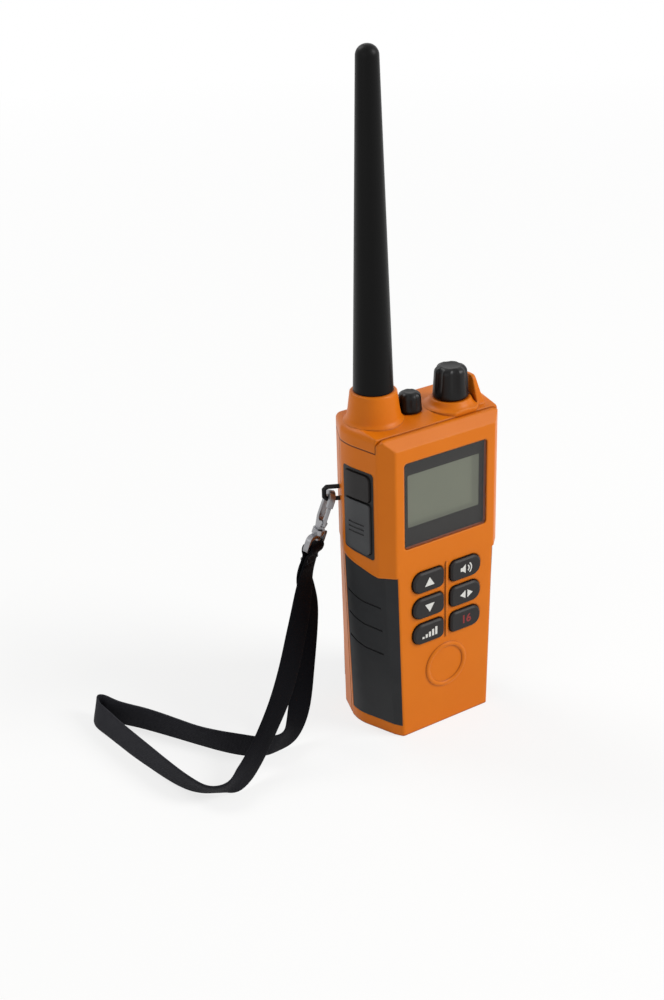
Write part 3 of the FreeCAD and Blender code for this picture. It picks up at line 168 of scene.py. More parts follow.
cameraView = {
    "position": (-341.2, -467.9, 379.6),  # mm
    "azimuth": -32.88,
    "elevation": 26.26,
    "roll": -1.82,
    "lens": 57.79,  # mm
    "sensor": 36,  # mm on the long side
    "sees": (0.01, 20),  # m, nearest and farthest
}


def placeCamera():
    a, e, r = (math.radians(cameraView[k]) for k in ("azimuth", "elevation", "roll"))
    back = Vector((math.sin(a) * math.cos(e), -math.cos(a) * math.cos(e), math.sin(e)))
    right = (-back).cross(Vector((0, 0, 1))).normalized()
    up = right.cross(-back)
    turnedRight = right * math.cos(r) + up * math.sin(r)
    turnedUp = up * math.cos(r) - right * math.sin(r)
    camera = bpy.data.objects.new("camera", bpy.data.cameras.new("camera"))
    camera.data.lens = cameraView["lens"]
    camera.data.sensor_width = cameraView["sensor"]
    camera.data.clip_start, camera.data.clip_end = cameraView["sees"]
    scene.collection.objects.link(camera)
    frameAxes = Matrix((turnedRight, turnedUp, back)).transposed().to_4x4()
    camera.matrix_world = Matrix.Translation(Vector(cameraView["position"]) * mm) @ frameAxes
    scene.camera = camera


placeCamera()
print("camera placed")

# The loop of webbing, sizes in mm. Each point of the route is x, y, z and then the way that the strap's
# width points there.
strap = {
    "width": 10.6,
    "thickness": 1.3,
    "crown": 0.12,  # how much thinner the woven edges are
    "shoulder": 0.9,  # share of half the width where the faces start to round off
    "length": 347.0,
    "perRun": 5,  # cross sections for each run of the route
    "aside": 4.0,  # to the second line, which gives the way of the width
    "clear": 0.1,  # air under the lower edge
    "route": [
        (-40.76, 15.17, 71.10, -0.86, -0.48, 0.19),
        (-42.14, 15.78, 66.33, -0.86, -0.48, 0.19),
        (-44.4, 14.6, 59.3, -0.81, -0.22, 0.54),
        (-47.8, 12.4, 50.8, -0.86, -0.09, 0.51),
        (-52.3, 9.6, 42.5, -0.87, -0.05, 0.49),
        (-57.3, 6.1, 34.6, -0.86, -0.05, 0.51),
        (-63.2, 2.1, 27.2, -0.84, -0.05, 0.54),
        (-68.5, -1.1, 21.9, -0.82, -0.10, 0.56),
        (-74.4, -4.2, 16.9, -0.80, -0.17, 0.58),
        (-79.6, -7.0, 12.8, -0.79, -0.17, 0.59),
        (-85.3, -9.8, 8.9, -0.76, -0.17, 0.63),
        (-92.2, -13.4, 6.1, -0.73, -0.20, 0.65),
        (-98.8, -15.9, 5.3, -0.70, -0.29, 0.65),
        (-103.8, -15.0, 4.8, -0.47, -0.50, 0.73),
        (-108.2, -12.0, 4.8, -0.26, -0.63, 0.73),
        (-111.5, -6.5, 5.3, -0.15, -0.53, 0.84),
        (-113.7, 1.2, 5.3, -0.05, -0.45, 0.89),
        (-115.4, 10.5, 5.5, 0.02, -0.34, 0.94),
        (-116.8, 20.1, 5.8, 0.08, -0.18, 0.98),
        (-118.1, 30.4, 5.8, 0.15, -0.06, 0.99),
        (-119.1, 41.4, 5.8, 0.17, 0.07, 0.98),
        (-119.6, 51.8, 5.5, 0.26, 0.24, 0.94),
        (-120.2, 59.4, 5.3, 0.30, 0.22, 0.93),
        (-118.7, 64.1, 5.3, 0.33, 0.16, 0.93),
        (-116.0, 65.7, 5.3, 0.33, 0.05, 0.94),
        (-113.3, 57.5, 5.6, 0.23, -0.17, 0.96),
        (-109.8, 51.6, 5.7, 0.14, -0.16, 0.98),
        (-105.9, 45.6, 5.7, 0.13, -0.17, 0.98),
        (-101.9, 38.1, 5.7, 0.10, -0.21, 0.97),
        (-97.6, 29.6, 5.6, 0.05, -0.29, 0.96),
        (-93.2, 20.8, 5.5, 0.01, -0.33, 0.94),
        (-88.4, 12.7, 5.6, 0.06, -0.25, 0.97),
        (-83.5, 5.7, 5.8, 0.06, -0.12, 0.99),
        (-79.3, 0.4, 6.2, -0.05, -0.11, 0.99),
        (-75.2, -2.3, 6.0, -0.23, -0.13, 0.96),
        (-69.8, -2.2, 5.1, -0.51, -0.33, 0.79),
        (-64.4, -1.3, 5.7, -0.66, -0.31, 0.68),
        (-59.6, 1.2, 8.0, -0.77, -0.10, 0.63),
        (-55.3, 4.4, 12.4, -0.87, 0.09, 0.48),
        (-52.3, 7.0, 18.2, -0.91, 0.15, 0.39),
        (-49.3, 9.9, 25.5, -0.93, 0.15, 0.35),
        (-46.3, 12.5, 33.8, -0.94, 0.13, 0.31),
        (-43.5, 14.7, 42.3, -0.94, 0.07, 0.34),
        (-41.5, 16.3, 50.8, -0.95, -0.05, 0.30),
        (-41.5, 17.2, 58.3, -0.90, -0.30, 0.30),
        (-42.91, 17.34, 66.81, -0.86, -0.48, 0.19),
        (-41.40, 16.47, 71.50, -0.86, -0.48, 0.19),
    ],
}


def routeCurve(points, name, perRun):
    # one open NURBS spline on its control points; the order is set once they are in
    data = bpy.data.curves.new(name, "CURVE")
    data.dimensions = "3D"
    spline = data.splines.new("NURBS")
    spline.points.add(len(points) - 1)
    for place, point in zip(spline.points, points):
        place.co = (*point, 1)
    spline.order_u = 3
    spline.use_endpoint_u = True
    spline.resolution_u = perRun
    return bpy.data.objects.new(name, data)


def readCurve(curve):
    scene.collection.objects.link(curve)
    bpy.context.view_layer.update()
    line = bpy.data.meshes.new_from_object(curve.evaluated_get(bpy.context.evaluated_depsgraph_get()))
    points = [v.co.copy() for v in line.vertices]
    bpy.data.objects.remove(curve)
    bpy.data.meshes.remove(line)
    return points


def alongRibbon(middle, widths, i):
    # the ways across the width and out of the face at one section
    ahead = (middle[min(i + 1, len(middle) - 1)] - middle[max(i - 1, 0)]).normalized()
    wide = (widths[i] - ahead * widths[i].dot(ahead)).normalized()
    return wide, ahead.cross(wide)


def strapSections():
    # the middle line and the way of the width at each section, with the lower edge kept on the floor
    middle, beside = [], []
    for x, y, z, *wide in strap["route"]:
        point = Vector((x, y, z)) * mm
        middle.append(point)
        beside.append(point + Vector(wide).normalized() * (strap["aside"] * mm))
    middle, beside = (
        readCurve(routeCurve(line, "strapRoute", strap["perRun"])) for line in (middle, beside))
    widths = [b - a for a, b in zip(middle, beside)]
    sameSpot = 0.001 * mm
    repeats = [i for i in range(1, len(middle)) if (middle[i] - middle[i - 1]).length < sameSpot]
    for i in reversed(repeats):
        del middle[i], widths[i]
    half, deep = strap["width"] / 2 * mm, strap["thickness"] / 2 * mm
    for i, point in enumerate(middle):
        wide, face = alongRibbon(middle, widths, i)
        edge = abs(wide.z) * half
        reach = max(edge, edge * strap["shoulder"] + abs(face.z) * deep)
        point.z += max(0, reach + strap["clear"] * mm - point.z)
    return middle, widths


def ribbonMesh(name, middle, widths, width):
    # a closed ribbon with rounded woven edges; UV in metres, u across and v along
    half, deep = width / 2 * mm, strap["thickness"] / 2 * mm
    thin = deep * (1 - strap["crown"] * 2)
    edge, edgeDeep, flat = 0.985, thin * 0.6, 0.45
    shoulder = strap["shoulder"]
    upper = [(-1, 0), (-edge, edgeDeep), (-shoulder, thin), (-flat, deep),
             (0, deep), (flat, deep), (shoulder, thin), (edge, edgeDeep)]
    rows = upper + [(-u, -v) for u, v in upper]
    mesh = bmesh.new()
    uv = mesh.loops.layers.uv.new("webbing")
    rings, along = [], [0.0]
    for i, point in enumerate(middle):
        wide, face = alongRibbon(middle, widths, i)
        if i:
            along.append(along[-1] + (point - middle[i - 1]).length)
        rings.append([mesh.verts.new(point + wide * (u * half) + face * v) for u, v in rows])
    for i in range(len(rings) - 1):
        for k in range(len(rows)):
            n = (k + 1) % len(rows)
            quad = mesh.faces.new((rings[i][k], rings[i][n], rings[i + 1][n], rings[i + 1][k]))
            quad.smooth = True
            side = 1 if k < len(upper) else -1
            for loop, (a, b) in zip(quad.loops, ((k, i), (n, i), (n, i + 1), (k, i + 1))):
                loop[uv].uv = (rows[a][0] * half * side, along[b])
    for ring in (rings[0], rings[-1]):
        mesh.faces.new(ring)
    return makePiece(name, mesh)


strapMiddle, strapWidths = strapSections()
wristStrap = ribbonMesh("wristStrap", strapMiddle, strapWidths, strap["width"])
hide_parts("wrist_strap")

# The strap's doubled end, folded over the lower bar of the swivel eye and sewn to itself.
# The points of its route are across the thickness and up, in mm in the eye's own frame.
sewnFold = {
    "origin": (-32.5876, 11.4659, 99.0),
    "wide": (0.85628, 0.48157, -0.18674),
    "deep": (-0.42760, 0.86373, 0.26669),
    "up": (0.28972, -0.14851, 0.94552),
    "route": [(-0.72, -29.2), (-0.72, -26.8), (-0.76, -24.9), (-2.05, -23.4), (-2.05, -20.3),
              (2.05, -20.3), (2.05, -23.4), (0.76, -24.9), (0.72, -26.8), (0.72, -29.2)],
    "perRun": 7,
    "width": 10.5,
}
# Its stitches, in mm
stitching = {
    "rows": (-25.6, -28.4),  # the two rows across the strap
    "reach": 4.3,  # half the length of those rows
    "aside": 0.2,  # from their ends to the rows that run up the sides
    "stitch": 1.25,
    "gap": 0.55,
    "thread": 0.17,  # radius
    "taper": 0.45,  # how much thinner the thread is at its ends
    "face": 1.45,  # from the middle of the fold to its surface
    "proud": 0.08,  # how far the thread's middle line stands out there
    "dip": 0.22,  # how far its ends sink into the webbing
    "sides": 8,
    "stations": (-1, -0.8, -0.4, 0, 0.4, 0.8, 1),  # from one end of a stitch to the other
}


def onEye(x, y, z):
    # a point of the eye's own frame, in mm, as a place in the model
    axes = [Vector(sewnFold[k]) for k in ("wide", "deep", "up")]
    return (Vector(sewnFold["origin"]) + axes[0] * x + axes[1] * y + axes[2] * z) * mm


def foldedEnd():
    route = [onEye(0, y, z) for y, z in sewnFold["route"]]
    middle = readCurve(routeCurve(route, "foldRoute", sewnFold["perRun"]))
    return ribbonMesh("sewnEnd", middle, [Vector(sewnFold["wide"])] * len(middle), sewnFold["width"])


def stitchPlaces():
    # a box of stitches on each face: two rows across and two up the sides
    low, high = min(stitching["rows"]), max(stitching["rows"])
    reach, pitch = stitching["reach"], stitching["stitch"] + stitching["gap"]
    across, upward = int(2 * reach / pitch), max(1, int((high - low) / pitch))
    places = []
    for face in (-1, 1):
        for row in stitching["rows"]:
            for i in range(across):
                places.append((face, -reach + (i + 0.5) * 2 * reach / across, row, 1, 0))
        for side in (-reach - stitching["aside"], reach + stitching["aside"]):
            for i in range(upward):
                places.append((face, side, low + (i + 0.5) * (high - low) / upward, 0, 1))
    return places


def stitchMesh():
    # each stitch is a short thread that dips into the webbing at its two ends
    mesh = bmesh.new()
    sides = stitching["sides"]
    for face, x, z, alongX, alongZ in stitchPlaces():
        rings = []
        for s in stitching["stations"]:
            reach = s * stitching["stitch"] / 2
            depth = stitching["face"] - stitching["dip"] * s * s + stitching["proud"]
            radius = stitching["thread"] * (1 - stitching["taper"] * s ** 4)
            ring = []
            for k in range(sides):
                a = 2 * math.pi * k / sides
                wide, deep = math.cos(a) * radius, math.sin(a) * radius
                ring.append(mesh.verts.new(onEye(x + reach * alongX + wide * alongZ, face * (depth + deep),
                                                 z + reach * alongZ + wide * alongX)))
            rings.append(ring)
        for a, b in zip(rings, rings[1:]):
            joinRings(mesh, a, b, smooth=True)
        mesh.faces.new(rings[0])
        mesh.faces.new(rings[-1])
    return makePiece("sewnThread", mesh)


sewnEnd = foldedEnd()
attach(sewnEnd, "swivel")
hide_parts("strap_end")
sewnThread = stitchMesh()
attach(sewnThread, "swivel")
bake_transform(wristStrap)
print("wrist strap laid,", len(strapMiddle), "sections, and its end sewn round the eye")

# The studio, sizes in m
stage = {
    "floorSize": 6.0,
    "below": 0.0002,  # gap between the floor and the radio's base
    "paper": "#F8F8F6",
    "glow": 0.74,  # how much of the white paper shows unshaded
    "fadeFrom": 0.25,  # distance from the object where the paper starts to turn plain white
    "fadeTo": 1.3,
    "lamps": [
        # name, place, aim, size, power in W
        ("keyLamp", (1.05, -1.1, 1.15), (0.0, 0.0, 0.1), 0.9, 25),
        ("fillLamp", (-1.5, -0.5, 0.7), (0.0, 0.0, 0.1), 1.2, 3),
        ("rimLamp", (-0.35, 1.1, 1.3), (0.0, 0.0, 0.15), 0.8, 8),
    ],
    "sky": 0.38,
}


def seenShare(material):
    # 1 for rays that look straight, in a mirror or through glass, and 0 for light
    path = addNode(material, "ShaderNodeLightPath").outputs
    direct = maths(material, "MAXIMUM", path["Is Camera Ray"], path["Is Glossy Ray"])
    return maths(material, "MAXIMUM", direct, path["Is Transmission Ray"])


def paperFloor():
    # seamless studio paper: plain white that keeps the soft shadow
    material = emptyMaterial("studioPaper")
    where = placeOn(material)
    lit = addNode(material, "ShaderNodeBsdfDiffuse", {"Color": linear(stage["paper"])})
    glow = addNode(material, "ShaderNodeEmission", {"Color": (1, 1, 1, 1), "Strength": 1.0})
    away = addNode(material, "ShaderNodeVectorMath", {"operation": "LENGTH"}, {0: where}).outputs["Value"]
    fade = remap(material, away, stage["fadeFrom"], stage["fadeTo"], stage["glow"], 1.0)
    share = maths(material, "MULTIPLY", seenShare(material), fade)
    return closeMaterial(material, mixShaders(material, share, lit.outputs[0], glow.outputs[0]))


def whiteSky():
    # a white room to look at that gives less light than it shows
    world = bpy.data.worlds.new("studio")
    scene.world = world
    world.use_nodes = True
    world.node_tree.nodes.clear()
    dim, white = (
        addNode(world, "ShaderNodeBackground", {"Color": (1, 1, 1, 1), "Strength": power}).outputs[0]
        for power in (stage["sky"], 1.0))
    output = addNode(world, "ShaderNodeOutputWorld")
    world.node_tree.links.new(mixShaders(world, seenShare(world), dim, white), output.inputs["Surface"])


def buildStage():
    half = stage["floorSize"] / 2
    data = bpy.data.meshes.new("floor")
    corners = [(-half, -half, 0), (half, -half, 0), (half, half, 0), (-half, half, 0)]
    data.from_pydata(corners, [], [(0, 1, 2, 3)])
    floor = bpy.data.objects.new("floor", data)
    scene.collection.objects.link(floor)
    data.materials.append(paperFloor())
    floor.location.z = -stage["below"]
    for name, place, aim, size, power in stage["lamps"]:
        data = bpy.data.lights.new(name, "AREA")
        data.shape = "DISK"
        data.size = size
        data.energy = power
        lamp = bpy.data.objects.new(name, data)
        lamp.location = place
        lamp.rotation_mode = "QUATERNION"
        lamp.rotation_quaternion = (Vector(aim) - Vector(place)).to_track_quat("-Z", "Y")
        scene.collection.objects.link(lamp)
    whiteSky()
    scene.view_settings.view_transform = "Standard"


buildStage()
print("floor, lamps and sky set")

# What all moulded skins share
moulding = {
    "handling": (3.0, 0.55),  # detail and roughness of the patches
    "grain": (2.0, 0.6),  # and of the grain
    "grainDepth": 0.3,  # share of the grain's size
    "arrisSeen": (0.995, 0.86),  # cosines of the bend where an arris starts to look rubbed, and is fully so
    # painted shade in joints and hollows, laid on by ambient occlusion
    "shadeReach": 1.3,  # mm between walls that still get painted shade
    "shadeSeen": (0.86, 0.35),  # share of open sky where the painted shade starts to show, and is darkest
    "shadeStrength": 0.85,
    "bloomRoughness": 0.35,
}


def jointLine(material, where, tone, joint):
    # the shadow in the open joint between two mouldings, round the sides and the back at one height
    split = addNode(material, "ShaderNodeSeparateXYZ", {}, {0: where}).outputs
    off = maths(material, "ABSOLUTE", maths(material, "SUBTRACT", split["Z"], joint["height"] * mm))
    fullyDark = 0.5  # share of the line's width
    line = remap(material, off, joint["half"] * fullyDark * mm, joint["half"] * mm, 1.0, 0.0)
    back = maths(material, "GREATER_THAN", split["Y"], joint["behind"] * mm)
    return mixTones(material, maths(material, "MULTIPLY", line, back), tone, joint["colour"])


def mouldedSurface(name, look):
    # Injection moulded skin: fine spark-eroded grain, a little gloss change from handling,
    # slightly rounded arrises that catch the light, edges rubbed a little paler, and painted shade that
    # darkens the joints and hollows
    material = emptyMaterial(name)
    where = placeOn(material)
    handling = noise(material, where, look["patch"], *moulding["handling"])
    grain = noise(material, where, look["grain"], *moulding["grain"])
    sharp = addNode(material, "ShaderNodeNewGeometry").outputs["Normal"]
    soft = softNormal(material, look["arris"])
    bent = addNode(material, "ShaderNodeVectorMath", {"operation": "DOT_PRODUCT"}, {0: sharp, 1: soft})
    edge = remap(material, bent.outputs["Value"], *moulding["arrisSeen"], 0.0, look["rub"])
    # painted shade: ambient occlusion darkens the colour in joints and hollows, where shade falls
    room = addNode(material, "ShaderNodeAmbientOcclusion",
                   {"samples": 6, "Distance": moulding["shadeReach"] * mm}).outputs["AO"]
    paintedShade = remap(material, room, *moulding["shadeSeen"], 0.0, moulding["shadeStrength"])
    tone = mixTones(material, handling, look["colour"], look["shade"])
    tone = mixTones(material, edge, tone, look["rubbed"])
    tone = mixTones(material, paintedShade, tone, look["hollowShade"])
    if "joint" in look:
        tone = jointLine(material, where, tone, look["joint"])
    return principled(
        material,
        {"IOR": look["ior"], "Specular IOR Level": look["specular"],
         "Sheen Weight": look.get("bloom", 0.0), "Sheen Roughness": moulding["bloomRoughness"]},
        {"Base Color": tone,
         "Roughness": varied(material, handling, look["roughness"], look["vary"]),
         "Normal": relief(material, grain, look["bump"], look["grain"] * moulding["grainDepth"], soft)})


# The hollow colour in each look below is painted shade, laid into joints and hollows by ambient occlusion.
# Sizes of patch, grain and arris are in mm, here and for the metals.
# ABS housing, moulded in signal orange: satin, even colour, soft highlights on the arrises
orangeAbs = mouldedSurface("orangeAbs", {
    "colour": "#D4710A", "shade": "#CD6A07", "rubbed": "#E48A34", "rub": 0.3, "hollowShade": "#8E3602",
    "joint": {"height": 127.35, "half": 0.35, "behind": -16.4, "colour": "#5E2703"},  # mm
    "ior": 1.53, "specular": 0.16, "roughness": 0.40, "vary": 0.05,
    "patch": 18.0, "grain": 0.45, "bump": 0.08, "arris": 1.2})

# Side grips: thermoplastic rubber moulded over the shell, matt, with painted shade in its hollows
gripRubber = mouldedSurface("gripRubber", {
    "colour": "#27282A", "shade": "#222325", "rubbed": "#353739", "rub": 0.4, "hollowShade": "#0C0C0D",
    "ior": 1.50, "specular": 0.22, "roughness": 0.58, "vary": 0.07,
    "patch": 9.0, "grain": 0.5, "bump": 0.35, "arris": 0.4})

# Switch panel and keys: silicone rubber with a hard satin coat
keyRubber = mouldedSurface("keyRubber", {
    "colour": "#292727", "shade": "#232121", "rubbed": "#373535", "rub": 0.5, "hollowShade": "#0B0A0A",
    "ior": 1.43, "specular": 0.25, "roughness": 0.44, "vary": 0.06,
    "patch": 6.0, "grain": 0.35, "bump": 0.15, "arris": 0.4})

# The talk switch: the same rubber with a smoother pad, painted paler to stand in for the grey sheen its
# convex face catches
sheenPaintedPad = mouldedSurface("sheenPaintedPad", {
    "colour": "#434446", "shade": "#3A3B3D", "rubbed": "#565759", "rub": 0.5, "hollowShade": "#0F0F0F",
    "ior": 1.43, "specular": 0.3, "roughness": 0.40, "vary": 0.08,
    "patch": 6.0, "grain": 0.35, "bump": 0.15, "arris": 0.5})

# Knobs: moulded polyurethane, smoother, with small bright highlights on the rounds
knobRubber = mouldedSurface("knobRubber", {
    "colour": "#0E0D0D", "shade": "#0A0A0A", "rubbed": "#272626", "rub": 0.5, "hollowShade": "#060606",
    "ior": 1.50, "specular": 0.23, "roughness": 0.38, "vary": 0.06,
    "patch": 7.0, "grain": 0.3, "bump": 0.12, "arris": 0.35})

# Antenna sheath: the same polyurethane with a thin bloom that pales its outline
sheathRubber = mouldedSurface("sheathRubber", {
    "colour": "#060606", "shade": "#040404", "rubbed": "#161717", "rub": 0.3, "hollowShade": "#030303",
    "ior": 1.50, "bloom": 0.12, "specular": 0.12, "roughness": 0.42, "vary": 0.05,
    "patch": 22.0, "grain": 0.35, "bump": 0.12, "arris": 0.3})

# Battery, belt clip and latch: black ABS and polycarbonate with a coarser spark-eroded grain
blackAbs = mouldedSurface("blackAbs", {
    "colour": "#1A1A1B", "shade": "#151516", "rubbed": "#2B2B2D", "rub": 0.5, "hollowShade": "#080808",
    "ior": 1.55, "specular": 0.3, "roughness": 0.48, "vary": 0.06,
    "patch": 12.0, "grain": 0.7, "bump": 0.35, "arris": 0.4})

# Seals and keypad mat: plain silicone, dull and soft in its highlights
sealSilicone = mouldedSurface("sealSilicone", {
    "colour": "#2B2B2C", "shade": "#242425", "rubbed": "#38383A", "rub": 0.3, "hollowShade": "#101010",
    "ior": 1.43, "specular": 0.4, "roughness": 0.6, "vary": 0.05,
    "patch": 5.0, "grain": 0.6, "bump": 0.2, "arris": 0.2})

# Circuit board: glass epoxy under green solder mask, satin with faint weave
solderMask = mouldedSurface("solderMask", {
    "colour": "#1F5B38", "shade": "#17492C", "rubbed": "#3C7A56", "rub": 0.6, "hollowShade": "#0E2A1A",
    "ior": 1.52, "specular": 0.5, "roughness": 0.32, "vary": 0.08,
    "patch": 2.5, "grain": 0.8, "bump": 0.25, "arris": 0.15})


def metalSurface(name, look):
    # Metal skin: the drawn or tumbled direction shows as fine streaks in the gloss, under softened arrises
    streakDepth = 0.2  # as a share of the streaks' size
    material = emptyMaterial(name)
    where = placeOn(material)
    stretched = addNode(material, "ShaderNodeMapping", {"Scale": look["stretch"]}, {"Vector": where})
    streak = noise(material, stretched.outputs[0], look["streak"], detail=3.0)
    stain = noise(material, where, look["patch"], detail=4.0)
    soft = softNormal(material, look["arris"])
    return principled(
        material, {"Metallic": 1.0},
        {"Base Color": mixTones(material, stain, look["colour"], look["shade"]),
         "Roughness": varied(material, streak, look["roughness"], look["vary"]),
         "Normal": relief(material, streak, look["bump"], look["streak"] * streakDepth, soft)})


# Hook, gate and swivel eye: zinc die cast, tumbled and nickel plated to a satin grey
satinNickel = metalSurface("satinNickel", {
    "colour": "#A0A0A2", "shade": "#87878B", "roughness": 0.36, "vary": 0.10, "streak": 0.5,
    "stretch": (1, 1, 1), "patch": 3.0, "bump": 0.15, "arris": 0.3})
# The bar that the strap hangs on: stainless steel under a black coat, low in gloss
blackedSteel = metalSurface("blackedSteel", {
    "colour": "#2A2A2B", "shade": "#1F1F20", "roughness": 0.42, "vary": 0.08, "streak": 0.4,
    "stretch": (1, 1, 4), "patch": 3.0, "bump": 0.1, "arris": 0.2})
# Pins, screws and shafts: drawn stainless steel, bright with fine lines along the draw
drawnSteel = metalSurface("drawnSteel", {
    "colour": "#C4C3C0", "shade": "#ACABA8", "roughness": 0.28, "vary": 0.08, "streak": 0.3,
    "stretch": (1, 1, 6), "patch": 4.0, "bump": 0.12, "arris": 0.2})
# Contacts and antenna socket: gold plated brass, smooth and warm
goldPlate = metalSurface("goldPlate", {
    "colour": "#E0B860", "shade": "#C99C48", "roughness": 0.24, "vary": 0.06, "streak": 0.3,
    "stretch": (1, 1, 4), "patch": 2.0, "bump": 0.08, "arris": 0.15})
# Shield can, potentiometer cans and speaker basket: tin plated steel sheet, streaked by rolling
tinPlate = metalSurface("tinPlate", {
    "colour": "#BFC0C2", "shade": "#A6A7AA", "roughness": 0.34, "vary": 0.12, "streak": 0.6,
    "stretch": (5, 1, 1), "patch": 6.0, "bump": 0.1, "arris": 0.2})
# Chassis and cell cans: die cast aluminium, as cast, dull and pebbly
castAlloy = metalSurface("castAlloy", {
    "colour": "#A5A6A8", "shade": "#8D8E91", "roughness": 0.5, "vary": 0.1, "streak": 0.8,
    "stretch": (1, 1, 1), "patch": 8.0, "bump": 0.4, "arris": 0.3})


def clearWindow():
    # Clear polycarbonate: lets lamps through and mirrors the studio a little, stronger at a flat angle
    look = {"tint": "#F4F5F2", "ior": 1.43, "clean": 0.03, "hazy": 0.108, "haze": 12.0}
    material = emptyMaterial("clearPolycarbonate")
    where = placeOn(material)
    haze = noise(material, where, look["haze"], detail=4.0)
    rough = remap(material, haze, 0.0, 1.0, look["clean"], look["hazy"])
    behind = addNode(material, "ShaderNodeNewGeometry").outputs["Backfacing"]
    fresnel = addNode(material, "ShaderNodeFresnel", {"IOR": look["ior"]}).outputs[0]
    mirror = maths(material, "MULTIPLY", fresnel, maths(material, "SUBTRACT", 1.0, behind))
    through = addNode(material, "ShaderNodeBsdfTransparent", {"Color": linear(look["tint"])})
    shine = addNode(material, "ShaderNodeBsdfGlossy", {"Color": (1, 1, 1, 1)}, {"Roughness": rough})
    return closeMaterial(material, mixShaders(material, mirror, through.outputs[0], shine.outputs[0]))


def liquidCrystal():
    # Reflective liquid crystal cell: grey green with the faint grid of its dots, and a shadow of the bezel
    # along the foot and one side, where the window stands in front of it. Sizes and places in mm.
    look = {"light": "#717466", "dark": "#686B5E", "cloud": 14.0, "dotPitch": 0.5, "dotGap": 0.06,
            "dotTone": 0.98, "gapTone": 0.93, "shadow": 0.72, "side": (12.8, 14.8), "foot": (97.0, 95.4)}
    material = emptyMaterial("liquidCrystalGlass")
    where = placeOn(material)
    split = addNode(material, "ShaderNodeSeparateXYZ", {}, {0: where}).outputs
    flat = addNode(material, "ShaderNodeCombineXYZ", {}, {0: split["X"], 1: split["Z"]}).outputs[0]
    dots = addNode(material, "ShaderNodeTexBrick", {
        "offset": 0.0, "Color1": (1, 1, 1, 1), "Color2": [look["dotTone"]] * 3 + [1],
        "Mortar": [look["gapTone"]] * 3 + [1], "Scale": 1 / (look["dotPitch"] * mm),
        "Mortar Size": look["dotGap"], "Brick Width": 1.0, "Row Height": 1.0}, {"Vector": flat})
    side, foot = (remap(material, split[axis], *(end * mm for end in look[edge]))
                  for axis, edge in (("X", "side"), ("Z", "foot")))
    dim = remap(material, maths(material, "MAXIMUM", side, foot), 0.0, 1.0, 1.0, look["shadow"])
    cloud = noise(material, where, look["cloud"], detail=2.0)
    tone = mixTones(material, cloud, look["dark"], look["light"])
    dotted = mixTones(material, 1.0, tone, dots.outputs["Color"], "MULTIPLY")
    shaded = addNode(material, "ShaderNodeVectorMath", {"operation": "SCALE"}, {0: dotted, "Scale": dim})
    return principled(material, {"IOR": 1.52, "Roughness": 0.4, "Specular IOR Level": 0.3},
                      {"Base Color": shaded.outputs[0]})


def nylonThread():
    # Bonded nylon sewing thread: two plies twisted together, slightly shinier than the webbing.
    # Sizes in mm.
    look = {"colour": "#1A1A1F", "shade": "#0B0B0E", "ply": 0.45, "waver": 0.4,
            "gloss": (0.45, 0.6), "bump": 0.4, "depth": 0.05}
    bandsPerUnit = 3  # of the wave texture
    material = emptyMaterial("nylonThread")
    where = placeOn(material)
    ply = addNode(material, "ShaderNodeTexWave", {
        "bands_direction": "DIAGONAL", "Scale": 1 / (look["ply"] * mm * bandsPerUnit),
        "Distortion": look["waver"]}, {"Vector": where}).outputs["Fac"]
    return principled(material, {"IOR": 1.53, "Specular IOR Level": 0.35},
                      {"Base Color": mixTones(material, ply, look["shade"], look["colour"]),
                       "Roughness": remap(material, ply, 0.0, 1.0, *look["gloss"]),
                       "Normal": relief(material, ply, look["bump"], look["depth"])})


def nylonWebbing():
    # Black nylon webbing: raised ribs across, twill lines along, a faint sheen where it turns to the light,
    # and a painted highlight that makes the stretch lying on the floor paler, for the light it catches
    # there.
    # The real thread pitch of 0.5 mm is drawn at 1.3 mm so that it shows. Sizes in mm, the
    # painted-highlight stretch in m.
    look = {"thread": "#060609", "gap": "#020203", "shine": "#0F0F16", "rib": 1.3, "column": 1.1,
            "gapWide": 0.16, "lowThread": 0.75, "fuzz": 0.4, "fuzzShine": 0.35, "bump": 0.6, "depth": 0.15,
            "held": "#3A3A3F", "heldGap": "#18181B", "heldFrom": (0.075, 0.135), "heldTo": (0.285, 0.235)}
    material = emptyMaterial("nylonWebbing")
    where = addNode(material, "ShaderNodeUVMap", {"uv_map": "webbing"}).outputs[0]
    weave = addNode(material, "ShaderNodeTexBrick", {
        "offset": 0.5, "Color1": (1, 1, 1, 1), "Color2": [look["lowThread"]] * 3 + [1],
        "Mortar": (0, 0, 0, 1), "Scale": 1 / mm, "Mortar Size": look["gapWide"], "Mortar Smooth": 1.0,
        "Brick Width": look["column"], "Row Height": look["rib"] / 2}, {"Vector": where}).outputs["Color"]
    along = addNode(material, "ShaderNodeSeparateXYZ", {}, {0: where}).outputs["Y"]
    # painted highlight: paler along the stretch of strap that lies on the floor, for the light it catches
    # there
    held = maths(material, "MINIMUM",
                 remap(material, along, *look["heldFrom"]), remap(material, along, *look["heldTo"]))
    tone = mixTones(material, weave, mixTones(material, held, look["gap"], look["heldGap"]),
                    mixTones(material, held, look["thread"], look["held"]))
    fuzz = maths(material, "MULTIPLY", noise(material, where, look["fuzz"], detail=3.0), look["fuzzShine"])
    return principled(
        material,
        {"Roughness": 0.72, "IOR": 1.53, "Specular IOR Level": 0.06,
         "Sheen Weight": 0.02, "Sheen Roughness": 0.4},
        {"Base Color": mixTones(material, fuzz, tone, look["shine"]),
         "Normal": relief(material, weave, look["bump"], look["depth"])})


polycarbonate = clearWindow()
crystal = liquidCrystal()
webbing = nylonWebbing()
sewingThread = nylonThread()
print("finishes mixed")

